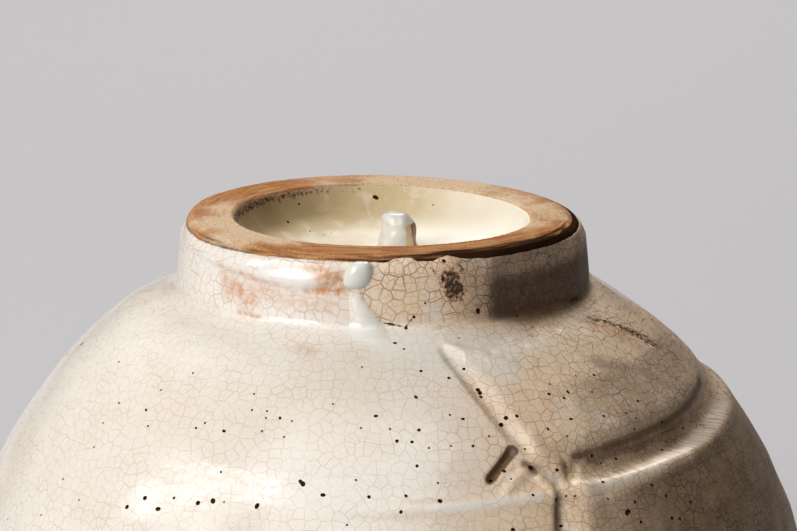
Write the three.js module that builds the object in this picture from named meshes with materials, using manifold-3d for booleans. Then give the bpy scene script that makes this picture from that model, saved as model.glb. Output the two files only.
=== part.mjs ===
// A hand-thrown stoneware tea bowl under a thick crackled glaze, turned over onto its lip, foot ring up.
// Millimetres, +Z up. The origin is the centre of the plane that the lip rests on, under the foot's centre.
// Azimuths are degrees round the axis from the front, which faces -Y, and grow towards +X.
import * as THREE from "three";
import { mergeVertices } from "three/addons/utils/BufferGeometryUtils.js";
import Module from "manifold-3d";

// The thrown wall, whose outside is one ellipse from the lip to the foot
const bowlRadius = 62; // widest outside radius, over the glaze
const bowlRise = 62; // the ellipse's half height, above its widest line
const widestHeight = 16; // widest line above the lip
const wallThickness = 5; // clay at the widest line
const floorThickness = 7; // clay between the bowl's inside and the pad inside the foot ring
const lipThickness = 4.2; // over the glaze
const lipLand = 1; // flat strip on the crest of the lip
const coat = 0.7; // glaze on the outside, the lip and the inside
const lipBand = 5; // height of the band where the outer and inner coats overlap on the lip

// The foot ring
const footHeight = 9.3; // standing face above the shoulder
const footBaseRadius = 29.2; // over the glaze, where the foot leaves the shoulder
const footTaper = 0.8; // how far the foot's wall leans in on its way up
const glazeLineDrop = 1.1; // from the standing face down to the line where the outer coat stops
const outerBevel = 0.4; // how far the bare edge leans in from that line to the standing face
const faceWidth = 5.9; // bare standing face
const innerBevel = 0.5; // rounding of the face into the well
const poolReach = 1.8; // how far the glaze pooled round the foot reaches along both sides
const coatRounding = 0.4; // rounding of the outer coat's upper edge

// The well inside the foot ring, and the boss that the trimming tool left in it
const wellDepth = 5.4; // standing face to the glazed floor of the well
const wellLean = 2.8; // how far the well's wall leans in from the standing face to its floor
const wellCoat = 0.5;
const wellSweep = 3; // how far the glaze swept into the well's corner reaches along both sides
const slipGap = 0.3; // joint between the foot ring and the pad that it surrounds
const bossAcross = 2.3; // boss to the right of the axis
const bossBehind = 3.4; // boss behind the axis
const bossRadius = 2.4; // clay, at half height
const bossBaseRadius = 3.2; // clay, at the floor of the well
const bossTopDrop = 0.3; // glazed top of the boss under the standing face
const bossCoat = 0.5;
const seatGap = 0.3; // between glaze that ran separately and the coat that it lies on
const fuseGap = 0.05; // between a coat and the clay that it is fused to

// The turned groove round the wall, and the strokes of the spatula.
// A route lists azimuths and drops under the shoulder. The tool is clear of the wall at both its ends.
const grooveDrop = 15.1; // middle of the groove under the shoulder
const grooveWidth = 5;
const grooveDepth = 0.3;
const strokeWidth = 1.7;
const strokeDepth = 1;
const strokeRoute = [[13, 2.1], [17, 6.2], [21.3, 13.1], [25, 17.7], [26, 23.7], [25, 30.7]];
const hookWidth = 2;
const hookDepth = 1;
const hookRoute = [[23.5, 11.9], [21, 13.7], [18.5, 15.5], [15.5, 17.5]];
const sweepWidth = 5.4;
const sweepDepth = 1.1;
const sweepRoute = [[27, 16.1], [36, 15.4], [52, 14.7], [70, 14.6], [88, 14.9], [104, 15.5]];

// The glaze that ran down the foot and hung there as a bead
const beadAzimuth = -7;
const beadDrop = 2.4; // middle of the bead under the standing face
const beadWidth = 3.9;
const beadHeight = 3.7;
const beadProud = 1.3; // how far it stands out of the coat
const runNeckAzimuth = -6;
const runNeckDrop = 4.7; // top of the run under the standing face
const runEndAzimuth = -3.4;
const runEndDrop = 2.5; // lower end of the run under the shoulder
const runNeckRadius = 0.9;
const runRadius = 2.2;

// Facets
const turnSegments = 48;
const wallSteps = 12;
const insideSteps = 10;
const roundSteps = 3;
const toolSides = 8;
const toolSteps = 12;
const smallTurnSegments = 24;
const mergeDistance = 1e-4;
const overrun = 5; // how far a cutting body reaches past what it cuts

const wasm = await Module();
wasm.setup();

const at = (r, z) => new THREE.Vector2(r, z);
const radians = THREE.MathUtils.degToRad;

// Places worked out from the driving dimensions
const clayFootBaseRadius = footBaseRadius - coat;
const footEdgeRadius = clayFootBaseRadius - footTaper;
const faceOuterRadius = footEdgeRadius - outerBevel;
const faceInnerRadius = faceOuterRadius - faceWidth;
const wellFloorRadius = faceInnerRadius - wellLean;
const shoulderHeight = heightOnWall(footBaseRadius, 0);
const seatHeight = heightOnWall(clayFootBaseRadius, coat);
const bowlHeight = shoulderHeight + footHeight;
const glazeLineHeight = bowlHeight - glazeLineDrop;
const grooveHeight = shoulderHeight - grooveDrop;
const wellFloorHeight = bowlHeight - wellDepth;
const padHeight = wellFloorHeight - wellCoat;
const lipRounding = (lipThickness - lipLand) / 2;
const lipOuterRadius = radiusOnWall(lipRounding, 0);
const lipInnerRadius = lipOuterRadius - lipThickness;
const innerRadius = bowlRadius - wallThickness - 2 * coat;
const innerRise = padHeight - floorThickness - coat - widestHeight;

// Radius of the outside at a height, at a depth under the glazed surface
function radiusOnWall(height, depth) {
  const share = (height - widestHeight) / (bowlRise - depth);
  return (bowlRadius - depth) * Math.sqrt(1 - share * share);
}

// Height of the outside above its widest line at a radius, at a depth under the glazed surface
function heightOnWall(radius, depth) {
  const share = radius / (bowlRadius - depth);
  return widestHeight + (bowlRise - depth) * Math.sqrt(1 - share * share);
}

// Point in space on the outside, lifted off it, at an azimuth and a height
function pointOnWall(azimuth, height, lift) {
  const slope = Math.asin((height - widestHeight) / bowlRise);
  const r = (bowlRadius + lift) * Math.cos(slope);
  const z = widestHeight + (bowlRise + lift) * Math.sin(slope);
  return aroundAxis(azimuth, r, z);
}

function aroundAxis(azimuth, r, z) {
  return new THREE.Vector3(r * Math.sin(radians(azimuth)), -r * Math.cos(radians(azimuth)), z);
}

// Stretch of the wall's ellipse between two heights, from the lower one up
function wallArc(from, to, depth, steps) {
  const angle = (z) => Math.asin((z - widestHeight) / (bowlRise - depth));
  const rx = bowlRadius - depth;
  const rz = bowlRise - depth;
  return new THREE.EllipseCurve(0, widestHeight, rx, rz, angle(from), angle(to)).getPoints(steps);
}

// The inside from the lip band up to the axis, at a depth into the clay
function insideProfile(depth) {
  const low = at(insideRadiusAtLip(lipBand) + depth, lipBand);
  const rx = innerRadius + depth;
  const rz = innerRise + depth;
  const arc = new THREE.EllipseCurve(0, widestHeight, rx, rz, 0, Math.PI / 2).getPoints(insideSteps);
  arc[arc.length - 1].x = 0;
  return [low, ...arc];
}

// Radius of the glazed inside between the lip and the widest line, where it is a straight taper
function insideRadiusAtLip(height) {
  const share = (height - lipRounding) / (widestHeight - lipRounding);
  return THREE.MathUtils.lerp(lipInnerRadius, innerRadius, share);
}

// Round the lip from the outside's band, over the crest, to the inside's band, at a depth under the glaze
function lipProfile(depth) {
  const round = lipRounding - depth;
  const outer = lipOuterRadius - lipRounding;
  const inner = lipInnerRadius + lipRounding;
  const quarter = (r, from, to) =>
    new THREE.EllipseCurve(r, lipRounding, round, round, from, to, true).getPoints(roundSteps);
  return [
    at(radiusOnWall(lipBand, depth), lipBand),
    ...quarter(outer, 0, -Math.PI / 2),
    ...quarter(inner, -Math.PI / 2, -Math.PI),
    at(insideRadiusAtLip(lipBand) + depth, lipBand),
  ];
}

// The glazed outside from the lip band up to the foot's glaze line, with the turned groove
function outsideProfile(grow) {
  const grooveLow = grooveHeight - grooveWidth / 2;
  const grooveHigh = grooveHeight + grooveWidth / 2;
  const poolOnWall = heightOnWall(footBaseRadius + poolReach, -grow);
  const lineRadius = footEdgeRadius + coat + grow;
  const baseRadius = footBaseRadius + grow;
  const poolShare = poolReach / footHeight;
  const poolOnFoot = at(
    THREE.MathUtils.lerp(baseRadius, lineRadius, poolShare),
    shoulderHeight + poolReach,
  );
  const upperArc = wallArc(grooveHigh, poolOnWall, -grow, roundSteps);
  const pool = new THREE.QuadraticBezierCurve(
    upperArc[upperArc.length - 1],
    at(baseRadius, shoulderHeight + grow),
    poolOnFoot,
  ).getPoints(roundSteps);
  return [
    ...wallArc(lipBand, grooveLow, -grow, wallSteps - roundSteps),
    at(radiusOnWall(grooveHeight, grooveDepth - grow), grooveHeight),
    ...upperArc,
    ...pool.slice(1),
    at(lineRadius, glazeLineHeight - coatRounding),
  ];
}

// The outside at a depth under that coat, from the lip band up to the glaze line
function underOutsideProfile(depth) {
  const corner = heightOnWall(footBaseRadius - depth, depth);
  return [
    ...wallArc(lipBand, corner, depth, wallSteps),
    at(footEdgeRadius + coat - depth, glazeLineHeight),
  ];
}

// The well's wall from its floor up to the bevel under the standing face, at a height off the clay
function wellWallProfile(lift) {
  return [
    at(wellFloorRadius - lift, padHeight + lift),
    at(faceInnerRadius - innerBevel - lift, bowlHeight - innerBevel),
  ];
}

// A profile turned about the axis, standing along +Z
function turned(profile, segments = turnSegments) {
  return new THREE.LatheGeometry(profile, segments).rotateX(Math.PI / 2);
}

// A profile that closes on itself, turned about the axis
function turnedRing(profile) {
  return turned([...profile, profile[0]]);
}

// A closed geometry as a solid that can be joined and cut
function solidFrom(geometry) {
  const bare = geometry.clone();
  bare.deleteAttribute("normal");
  bare.deleteAttribute("uv");
  const merged = mergeVertices(bare, mergeDistance);
  const vertProperties = merged.getAttribute("position").array;
  const triVerts = new Uint32Array(merged.index.array);
  return new wasm.Manifold(new wasm.Mesh({ numProp: 3, vertProperties, triVerts }));
}

// A joined or cut solid as a geometry again
function geometryFrom(solid) {
  const mesh = solid.getMesh();
  const geometry = new THREE.BufferGeometry();
  geometry.setAttribute("position", new THREE.BufferAttribute(mesh.vertProperties, 3));
  geometry.setIndex(new THREE.BufferAttribute(mesh.triVerts, 1));
  geometry.computeVertexNormals();
  return geometry;
}

// A round tool drawn along the wall, lifted clear at both ends. Between them it bites to a width and depth,
// and "thicker" adds to its radius.
function spatulaStroke(route, width, depth, thicker) {
  const toolRadius = ((width * width) / 4 + depth * depth) / (2 * depth);
  const points = route.map(([azimuth, drop], i) => {
    const isEnd = i === 0 || i === route.length - 1;
    const lift = isEnd ? toolRadius + coat : toolRadius - depth;
    return pointOnWall(azimuth, shoulderHeight - drop, lift);
  });
  const section = new THREE.Shape().absarc(0, 0, toolRadius + thicker, 0, 2 * Math.PI);
  return solidFrom(
    new THREE.ExtrudeGeometry(section, {
      steps: toolSteps,
      curveSegments: toolSides,
      extrudePath: new THREE.CatmullRomCurve3(points),
    }),
  );
}

// All the strokes, as one cutting body
function allStrokes(thicker) {
  return spatulaStroke(strokeRoute, strokeWidth, strokeDepth, thicker)
    .add(spatulaStroke(hookRoute, hookWidth, hookDepth, thicker))
    .add(spatulaStroke(sweepRoute, sweepWidth, sweepDepth, thicker));
}

// The thrown clay: wall, floor, and the pad that the foot ring surrounds
function bowlBody() {
  const padRadius = wellFloorRadius - slipGap;
  const profile = [
    at(0, padHeight),
    at(padRadius, padHeight),
    at(padRadius, seatHeight),
    ...wallArc(lipBand, seatHeight, coat, wallSteps).reverse(),
    ...lipProfile(coat).slice(1, -1),
    ...insideProfile(coat),
  ];
  const clay = solidFrom(turned(profile.reverse()));
  return geometryFrom(clay.subtract(allStrokes(coat)));
}

// The clay ring that the bowl stands on, with its bare standing face
function footRing() {
  return turnedRing([
    at(clayFootBaseRadius, seatHeight),
    at(footEdgeRadius, glazeLineHeight),
    at(faceOuterRadius, bowlHeight),
    at(faceInnerRadius, bowlHeight),
    ...wellWallProfile(0).reverse(),
    at(wellFloorRadius, seatHeight),
  ]);
}

// Half outline of the boss from the floor of the well to its domed top, grown by a thickness of glaze
function bossProfile(grow) {
  const height = wellDepth - bossTopDrop - bossCoat + wellCoat;
  const waist = height - bossRadius;
  const flank = new THREE.QuadraticBezierCurve(
    at(bossBaseRadius + grow, 0),
    at(bossRadius + grow, height / 4),
    at(bossRadius + grow, waist),
  ).getPoints(roundSteps);
  const round = bossRadius + grow;
  const dome = new THREE.EllipseCurve(0, waist, round, round, 0, Math.PI / 2).getPoints(2 * roundSteps);
  dome[dome.length - 1].x = 0;
  return [...flank, ...dome.slice(1)];
}

function footBoss() {
  return turned([at(0, 0), ...bossProfile(0)], smallTurnSegments);
}

// The glaze that lies thickly over the boss
function bossGlaze() {
  return turned([...bossProfile(fuseGap).reverse(), ...bossProfile(bossCoat)], smallTurnSegments);
}

// The coat on the outside of the bowl, over the shoulder and up the foot. The strokes were cut in the clay,
// so the coat lines them.
function outerGlaze() {
  const outside = [...outsideProfile(0), at(footEdgeRadius + coat - coatRounding, glazeLineHeight)];
  const under = underOutsideProfile(coat - fuseGap).reverse();
  const shell = solidFrom(turnedRing([...outside, ...under]));
  const filled = solidFrom(turned([at(0, lipBand), ...outside, at(0, glazeLineHeight)]));
  const lining = allStrokes(coat - fuseGap).intersect(filled);
  return geometryFrom(shell.add(lining).subtract(allStrokes(0)));
}

// The coat rolled over the lip
function lipGlaze() {
  return turnedRing([...lipProfile(0), ...lipProfile(coat - fuseGap).reverse()].reverse());
}

// The coat on the inside of the bowl
function innerGlaze() {
  return turned([...insideProfile(0).reverse(), ...insideProfile(coat - fuseGap)]);
}

// The coat in the well of the foot, with a hole for the boss
function wellGlaze() {
  const wall = wellWallProfile(fuseGap);
  const sweep = new THREE.QuadraticBezierCurve(
    at(wellFloorRadius - wellCoat - wellSweep, wellFloorHeight),
    at(wellFloorRadius - wellCoat, wellFloorHeight),
    at(wellFloorRadius, wellFloorHeight + wellSweep),
  ).getPoints(roundSteps);
  const profile = [
    at(0, padHeight + fuseGap),
    ...wall,
    at(faceInnerRadius - innerBevel - wellCoat, bowlHeight - innerBevel - wellCoat),
    ...sweep.reverse(),
    at(0, wellFloorHeight),
  ];
  const holeRadius = bossBaseRadius + bossCoat + seatGap;
  const hole = new THREE.CylinderGeometry(holeRadius, holeRadius, 2 * overrun, smallTurnSegments);
  hole.rotateX(Math.PI / 2).translate(bossAcross, bossBehind, padHeight);
  return geometryFrom(solidFrom(turned(profile)).subtract(solidFrom(hole)));
}

// Everything under the outer coat of the foot and shoulder, grown by the gap that run glaze keeps to it
function footBlank() {
  const outside = outsideProfile(seatGap);
  const top = outside[outside.length - 1].clone().setY(bowlHeight + overrun);
  return solidFrom(turned([at(0, lipBand), ...outside, top, at(0, top.y)]));
}

// The bead that hangs from the end of the run, just short of the standing face
function glazeBead() {
  const height = bowlHeight - beadDrop;
  const share = (height - shoulderHeight) / footHeight;
  const r = THREE.MathUtils.lerp(footBaseRadius, footEdgeRadius + coat, share);
  const bead = new THREE.SphereGeometry(1, smallTurnSegments, smallTurnSegments / 2);
  bead.scale(beadWidth / 2, beadProud, beadHeight / 2).rotateZ(radians(beadAzimuth));
  const place = aroundAxis(beadAzimuth, r, height);
  bead.translate(place.x, place.y, place.z);
  return geometryFrom(solidFrom(bead).subtract(footBlank()));
}

// The run that feeds the bead, from its neck on the foot to its broad end on the shoulder
function glazeRun() {
  const neckShare = (footHeight - runNeckDrop) / footHeight;
  const neckRadius = THREE.MathUtils.lerp(footBaseRadius, footEdgeRadius + coat, neckShare);
  const neck = aroundAxis(runNeckAzimuth, neckRadius, bowlHeight - runNeckDrop);
  const end = pointOnWall(runEndAzimuth, shoulderHeight - runEndDrop, 0);
  const length = neck.distanceTo(end);
  const flank = new THREE.SplineCurve([
    at(runNeckRadius, runNeckRadius),
    at(runNeckRadius, length / 3),
    at(runRadius, length - runRadius),
  ]).getPoints(2 * roundSteps);
  const drop = [at(0, 0), ...flank, at(runRadius / 2, length - runRadius / 4), at(0, length)];
  const run = new THREE.LatheGeometry(drop, smallTurnSegments);
  const along = end.clone().sub(neck).normalize();
  run.applyQuaternion(new THREE.Quaternion().setFromUnitVectors(new THREE.Vector3(0, 1, 0), along));
  run.translate(neck.x, neck.y, neck.z);
  return geometryFrom(solidFrom(run).subtract(footBlank()));
}

const stoneware = { color: 0xa8744a, roughness: 0.85, metalness: 0 };
const creamGlaze = { color: 0xddd2bd, roughness: 0.22, metalness: 0 };
const wellCream = { color: 0xd3caae, roughness: 0.3, metalness: 0 };
const paleGlaze = { color: 0xdfe3de, roughness: 0.15, metalness: 0 };

function piece(name, geometry, finish) {
  const mesh = new THREE.Mesh(geometry, new THREE.MeshStandardMaterial(finish));
  mesh.name = name;
  return mesh;
}

// The boss and its glaze, standing on the pad to one side of the axis
function bossGroup() {
  const group = new THREE.Group();
  group.position.set(bossAcross, bossBehind, padHeight);
  group.add(piece("foot_boss", footBoss(), stoneware), piece("boss_glaze", bossGlaze(), paleGlaze));
  return group;
}

const teaBowl = new THREE.Group();
teaBowl.add(
  piece("bowl_body", bowlBody(), stoneware),
  piece("foot_ring", footRing(), stoneware),
  bossGroup(),
  piece("outer_glaze", outerGlaze(), creamGlaze),
  piece("lip_glaze", lipGlaze(), creamGlaze),
  piece("inner_glaze", innerGlaze(), creamGlaze),
  piece("well_glaze", wellGlaze(), wellCream),
  piece("glaze_bead", glazeBead(), paleGlaze),
  piece("glaze_run", glazeRun(), paleGlaze),
);

export default teaBowl;
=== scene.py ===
import math

import bmesh
import bpy
import numpy as np
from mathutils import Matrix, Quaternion, Vector, noise
from mathutils.bvhtree import BVHTree


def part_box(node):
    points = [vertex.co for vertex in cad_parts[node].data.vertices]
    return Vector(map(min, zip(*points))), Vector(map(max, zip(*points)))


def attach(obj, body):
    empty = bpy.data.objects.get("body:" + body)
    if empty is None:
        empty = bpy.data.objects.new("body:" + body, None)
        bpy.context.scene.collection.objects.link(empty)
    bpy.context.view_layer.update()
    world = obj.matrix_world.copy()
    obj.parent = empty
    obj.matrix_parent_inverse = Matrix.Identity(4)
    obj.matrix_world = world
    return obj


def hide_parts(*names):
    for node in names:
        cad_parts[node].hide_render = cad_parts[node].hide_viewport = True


# %% [markdown]
# # A glazed tea bowl, foot up
# The bowl was thrown on a wheel, trimmed, cut with a spatula and dipped in a thick white glaze that
# crackled as it cooled. Here it lies upside down on its lip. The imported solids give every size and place,
# and this script gives the same bowl its hand-made surface: a clay wall, the coats of glaze that lie on it,
# and what the kiln did to them.

# %% The frame, and the sizes that it gives in millimetres
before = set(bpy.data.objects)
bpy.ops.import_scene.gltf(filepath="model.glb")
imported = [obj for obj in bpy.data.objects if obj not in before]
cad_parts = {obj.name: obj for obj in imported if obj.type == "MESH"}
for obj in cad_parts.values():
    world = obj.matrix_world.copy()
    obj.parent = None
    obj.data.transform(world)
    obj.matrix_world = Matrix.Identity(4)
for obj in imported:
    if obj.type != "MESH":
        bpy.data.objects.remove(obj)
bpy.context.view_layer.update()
MM = 0.001


def corners(node):
    return [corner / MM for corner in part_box(node)]


outer_low, outer_high = corners("outer_glaze")
ring_low, ring_high = corners("foot_ring")
boss_low, boss_high = corners("boss_glaze")

BOWL_RADIUS = outer_high.x
BOWL_HEIGHT = ring_high.z
LIP_BAND = outer_low.z
GLAZE_LINE = outer_high.z
FOOT_SEAT = ring_low.z
FOOT_CLAY_RADIUS = ring_high.x
INSIDE_CLAY_TOP = corners("inner_glaze")[1].z
PAD_HEIGHT = corners("well_glaze")[0].z
print(f"bowl {2 * BOWL_RADIUS:.1f} mm wide and {BOWL_HEIGHT:.1f} mm high, foot from {FOOT_SEAT:.1f} mm up")

# %% Sizes in millimetres that the boxes don't give
WIDEST_HEIGHT = 16.0
WALL = 5.0
COAT = 0.7
WELL_COAT = 0.5
FOOT_TAPER = 0.8
EDGE_LEAN = 0.4
FACE_WIDTH = 5.9
INNER_BEVEL = 0.5
WELL_LEAN = 2.8
WELL_SWEEP = (8.0, 5.0)
POOL_REACH = 0.9
LIP_THICKNESS = 4.2
LIP_LAND = 1.0

FOOT_GLAZE_RADIUS = FOOT_CLAY_RADIUS + COAT
FOOT_EDGE_RADIUS = FOOT_CLAY_RADIUS - FOOT_TAPER
FACE_OUTER = FOOT_EDGE_RADIUS - EDGE_LEAN
FACE_INNER = FACE_OUTER - FACE_WIDTH
WELL_FLOOR_RADIUS = FACE_INNER - WELL_LEAN
SHOULDER = WIDEST_HEIGHT + math.sqrt(BOWL_RADIUS**2 - FOOT_GLAZE_RADIUS**2)
INSIDE_RADIUS = BOWL_RADIUS - WALL - 2 * COAT
LIP_ROUND = (LIP_THICKNESS - LIP_LAND) / 2
print(f"shoulder at {SHOULDER:.1f} mm, face from {FACE_INNER:.1f} to {FACE_OUTER:.1f} mm off the axis")

# %% [markdown]
# ## The camera
# The picture was taken from close by, looking down on the foot at about 13 degrees through a long lens. The
# lens comes from the picture's width and the distance at which the foot's ellipse has its measured height.
# Depth of field and shift stay off, so that other views of the bowl are sharp and centred.

# %% Camera
PHOTO_WIDTH, PHOTO_HEIGHT = 797, 531
PIXELS_PER_RADIAN = 4243.6
CAMERA_PLACE = Vector((0.0, -586.45, 206.79))
CAMERA_TILT = math.radians(-12.876)
CAMERA_PAN = math.radians(-0.228)

camera_data = bpy.data.cameras.new("camera")
camera_data.sensor_width = 36.0
camera_data.lens = PIXELS_PER_RADIAN / PHOTO_WIDTH * camera_data.sensor_width
camera_data.clip_start = 0.01
camera = bpy.data.objects.new("camera", camera_data)
camera.location = CAMERA_PLACE * MM
camera.rotation_euler = (math.pi / 2 + CAMERA_TILT, 0.0, CAMERA_PAN)
bpy.context.scene.collection.objects.link(camera)
bpy.context.scene.camera = camera
bpy.context.scene.view_settings.view_transform = "Standard"
print(f"lens {camera_data.lens:.1f} mm")

# %% [markdown]
# ## Floor and light
# A soft box stands low on the left, so the right side falls into shade, and a strip above it draws the long
# highlights on the foot and the wall. A wide box over the front keeps the middle as light as the left.
# Another, high up behind, lights the standing face and the right of the shoulder.

# %% Floor
FLOOR_SIZE = 8.0
FLOOR_COLOUR = (0.51, 0.50, 0.525, 1.0)
FLOOR_ROUGHNESS = 0.9

bpy.ops.mesh.primitive_plane_add(size=FLOOR_SIZE)
floor = bpy.context.object
floor.name = "floor"
floor_material = bpy.data.materials.new("pale_floor")
floor_material.use_nodes = True
floor_shader = floor_material.node_tree.nodes["Principled BSDF"]
floor_shader.inputs["Base Color"].default_value = FLOOR_COLOUR
floor_shader.inputs["Roughness"].default_value = FLOOR_ROUGHNESS
floor.data.materials.append(floor_material)
print(f"{floor.name}: {FLOOR_SIZE} m across")

# %% Lamps and sky
LIGHT_AIM = Vector((0, 0, 0.06))
LAMP_COLOUR = (1.0, 0.985, 0.96)
SKY_COLOUR = (1.0, 0.9, 0.8, 1.0)
SKY_STRENGTH = 0.01
# Azimuth and elevation in degrees, then distance, width and height in metres, watts, and a roll in degrees
LAMPS = {
    "key_light": (-50, 22, 1.1, 0.5, 0.55, 7.4, 0),
    "strip_light": (-67, 43, 1.1, 0.8, 0.05, 2.4, 32),
    "front_light": (-14, 58, 1.6, 1.2, 1.2, 10.6, 0),
    "back_light": (178, 46, 1.6, 0.8, 0.8, 17.5, 0),
}


def soft_box(name, azimuth, elevation, distance, width, height, power, roll):
    data = bpy.data.lights.new(name, "AREA")
    data.shape = "RECTANGLE"
    data.size = width
    data.size_y = height
    data.energy = power
    data.color = LAMP_COLOUR
    lamp = bpy.data.objects.new(name, data)
    turn, rise = math.radians(azimuth), math.radians(elevation)
    level = math.cos(rise)
    towards = Vector((math.sin(turn) * level, -math.cos(turn) * level, math.sin(rise)))
    lamp.location = LIGHT_AIM + towards * distance
    rolled = Quaternion((0.0, 0.0, 1.0), math.radians(roll))
    lamp.rotation_euler = (towards.to_track_quat("Z", "Y") @ rolled).to_euler()
    bpy.context.scene.collection.objects.link(lamp)
    print(f"{name}: {power} W at {distance} m")


for lamp_name, placing in LAMPS.items():
    soft_box(lamp_name, *placing)

world = bpy.data.worlds.new("dim_sky")
world.use_nodes = True
sky = world.node_tree.nodes["Background"]
sky.inputs["Color"].default_value = SKY_COLOUR
sky.inputs["Strength"].default_value = SKY_STRENGTH
bpy.context.scene.world = world

# %% [markdown]
# ## Turning a profile
# Everything here began on a wheel, so one Geometry Nodes tree turns every profile. Its input mesh holds the
# profile's points in order. A grid takes one row from each point and one column from each step round the
# axis, and its seam and poles are merged. A grid keeps the points that the profile names, where a resampled
# curve would round them off, and its columns can stand closer together in the sector that the spatula cut.


# %% Small helpers for node trees
def add_node(tree, kind, **settings):
    made = tree.nodes.new(kind)
    for name, value in settings.items():
        setattr(made, name, value)
    return made


def feed(tree, socket, value):
    """Links a socket to another one, or sets it to a plain value."""
    if isinstance(value, bpy.types.NodeSocket):
        tree.links.new(value, socket)
    else:
        socket.default_value = value


def math_node(tree, operation, *values):
    made = add_node(tree, "ShaderNodeMath", operation=operation)
    for socket, value in zip(made.inputs, values):
        feed(tree, socket, value)
    return made.outputs[0]


def times(tree, first, *others):
    for other in others:
        first = math_node(tree, "MULTIPLY", first, other)
    return first


def open_socket(sockets, name):
    """The socket of that name that the node's settings leave in use."""
    return next(socket for socket in sockets if socket.name == name and socket.enabled)


def new_tree(name, **inputs):
    tree = bpy.data.node_groups.new(name, "GeometryNodeTree")
    tree.interface.new_socket("Geometry", in_out="INPUT", socket_type="NodeSocketGeometry")
    for input_name, kind in inputs.items():
        shown_name = input_name.replace("_", " ")
        tree.interface.new_socket(shown_name, in_out="INPUT", socket_type="NodeSocket" + kind)
    tree.interface.new_socket("Geometry", in_out="OUTPUT", socket_type="NodeSocketGeometry")
    return tree, add_node(tree, "NodeGroupInput").outputs, add_node(tree, "NodeGroupOutput").inputs[0]


def end_tree(tree, geometry, result, *finishes):
    """Realizes the geometry and sets its materials, each of them on a selection."""
    realized = add_node(tree, "GeometryNodeRealizeInstances")
    feed(tree, realized.inputs[0], geometry)
    geometry = realized.outputs[0]
    for material, selection in finishes:
        dressed = add_node(tree, "GeometryNodeSetMaterial")
        feed(tree, dressed.inputs["Geometry"], geometry)
        feed(tree, dressed.inputs["Material"], material)
        feed(tree, dressed.inputs["Selection"], selection)
        geometry = dressed.outputs[0]
    feed(tree, result, geometry)


def run_tree(piece, tree, **values):
    """Runs a tree on a piece's mesh, and leaves the result as the piece's plain mesh."""
    modifier = piece.modifiers.new("made", "NODES")
    modifier.node_group = tree
    sockets = {item.name: item.identifier for item in tree.interface.items_tree if item.in_out == "INPUT"}
    for name, value in values.items():
        modifier[sockets[name.replace("_", " ")]] = value
    evaluated = piece.evaluated_get(bpy.context.evaluated_depsgraph_get())
    piece.data = bpy.data.meshes.new_from_object(evaluated)
    piece.modifiers.remove(modifier)


# %% The tree that turns a profile
SEAM_GAP = 1e-6


def turning_tree():
    tree, given, result = new_tree(
        "turn_profile", Fine_From="Float", Fine_Width="Float", Fine_Steps="Int", Other_Steps="Int",
        Finish="Material",
    )
    size = add_node(tree, "GeometryNodeAttributeDomainSize")
    feed(tree, size.inputs[0], given["Geometry"])
    rows = size.outputs["Point Count"]
    fine, other = given["Fine Steps"], given["Other Steps"]
    grid = add_node(tree, "GeometryNodeMeshGrid")
    feed(tree, grid.inputs["Vertices X"], math_node(tree, "ADD", math_node(tree, "ADD", fine, other), 1))
    feed(tree, grid.inputs["Vertices Y"], rows)
    index = add_node(tree, "GeometryNodeInputIndex").outputs[0]
    row = math_node(tree, "FLOORED_MODULO", index, rows)
    column = math_node(tree, "FLOOR", math_node(tree, "DIVIDE", index, rows))
    fine_share = math_node(tree, "DIVIDE", math_node(tree, "MINIMUM", column, fine), fine)
    past_fine = math_node(tree, "MAXIMUM", math_node(tree, "SUBTRACT", column, fine), 0)
    other_width = math_node(tree, "SUBTRACT", 360, given["Fine Width"])
    other_part = times(tree, math_node(tree, "DIVIDE", past_fine, other), other_width)
    fine_part = math_node(tree, "MULTIPLY_ADD", fine_share, given["Fine Width"], given["Fine From"])
    azimuth = math_node(tree, "ADD", fine_part, other_part)
    turn = math_node(tree, "RADIANS", math_node(tree, "SUBTRACT", azimuth, 90))
    profile = add_node(tree, "GeometryNodeSampleIndex", data_type="FLOAT_VECTOR")
    feed(tree, profile.inputs["Geometry"], given["Geometry"])
    feed(tree, open_socket(profile.inputs, "Value"), add_node(tree, "GeometryNodeInputPosition").outputs[0])
    feed(tree, profile.inputs["Index"], row)
    turned = add_node(tree, "ShaderNodeVectorRotate", rotation_type="Z_AXIS")
    feed(tree, turned.inputs["Vector"], open_socket(profile.outputs, "Value"))
    feed(tree, turned.inputs["Angle"], turn)
    placed = add_node(tree, "GeometryNodeSetPosition")
    feed(tree, placed.inputs["Geometry"], grid.outputs["Mesh"])
    feed(tree, placed.inputs["Position"], turned.outputs[0])
    merged = add_node(tree, "GeometryNodeMergeByDistance")
    feed(tree, merged.inputs["Distance"], SEAM_GAP)
    feed(tree, merged.inputs["Geometry"], placed.outputs[0])
    end_tree(tree, merged.outputs[0], result, (given["Finish"], True))
    return tree


TURN_PROFILE = turning_tree()
print("the turning tree has", len(TURN_PROFILE.nodes), "nodes")

# %% [markdown]
# A turned piece comes out of the tree with faces that may point either way, so they are made to point out
# of the closed shape. Edges that turn sharply are marked, so that smooth shading stops at them.

# %% A turned piece from a profile of (radius, height) in millimetres
SHARP_TURN = math.radians(50)
DOUBLED = 1e-7
FINE_SECTOR = dict(Fine_From=-14.0, Fine_Width=64.0, Fine_Steps=220, Other_Steps=210)


def point_outward(mesh):
    shape = bmesh.new()
    shape.from_mesh(mesh)
    bmesh.ops.remove_doubles(shape, verts=shape.verts, dist=DOUBLED)
    bmesh.ops.recalc_face_normals(shape, faces=shape.faces)
    for face in shape.faces:
        face.smooth = True
    for edge in shape.edges:
        edge.smooth = edge.calc_face_angle(0.0) < SHARP_TURN
    shape.to_mesh(mesh)
    shape.free()


def even_steps(count):
    return dict(Fine_From=0.0, Fine_Width=180.0, Fine_Steps=count // 2, Other_Steps=count // 2)


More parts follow.
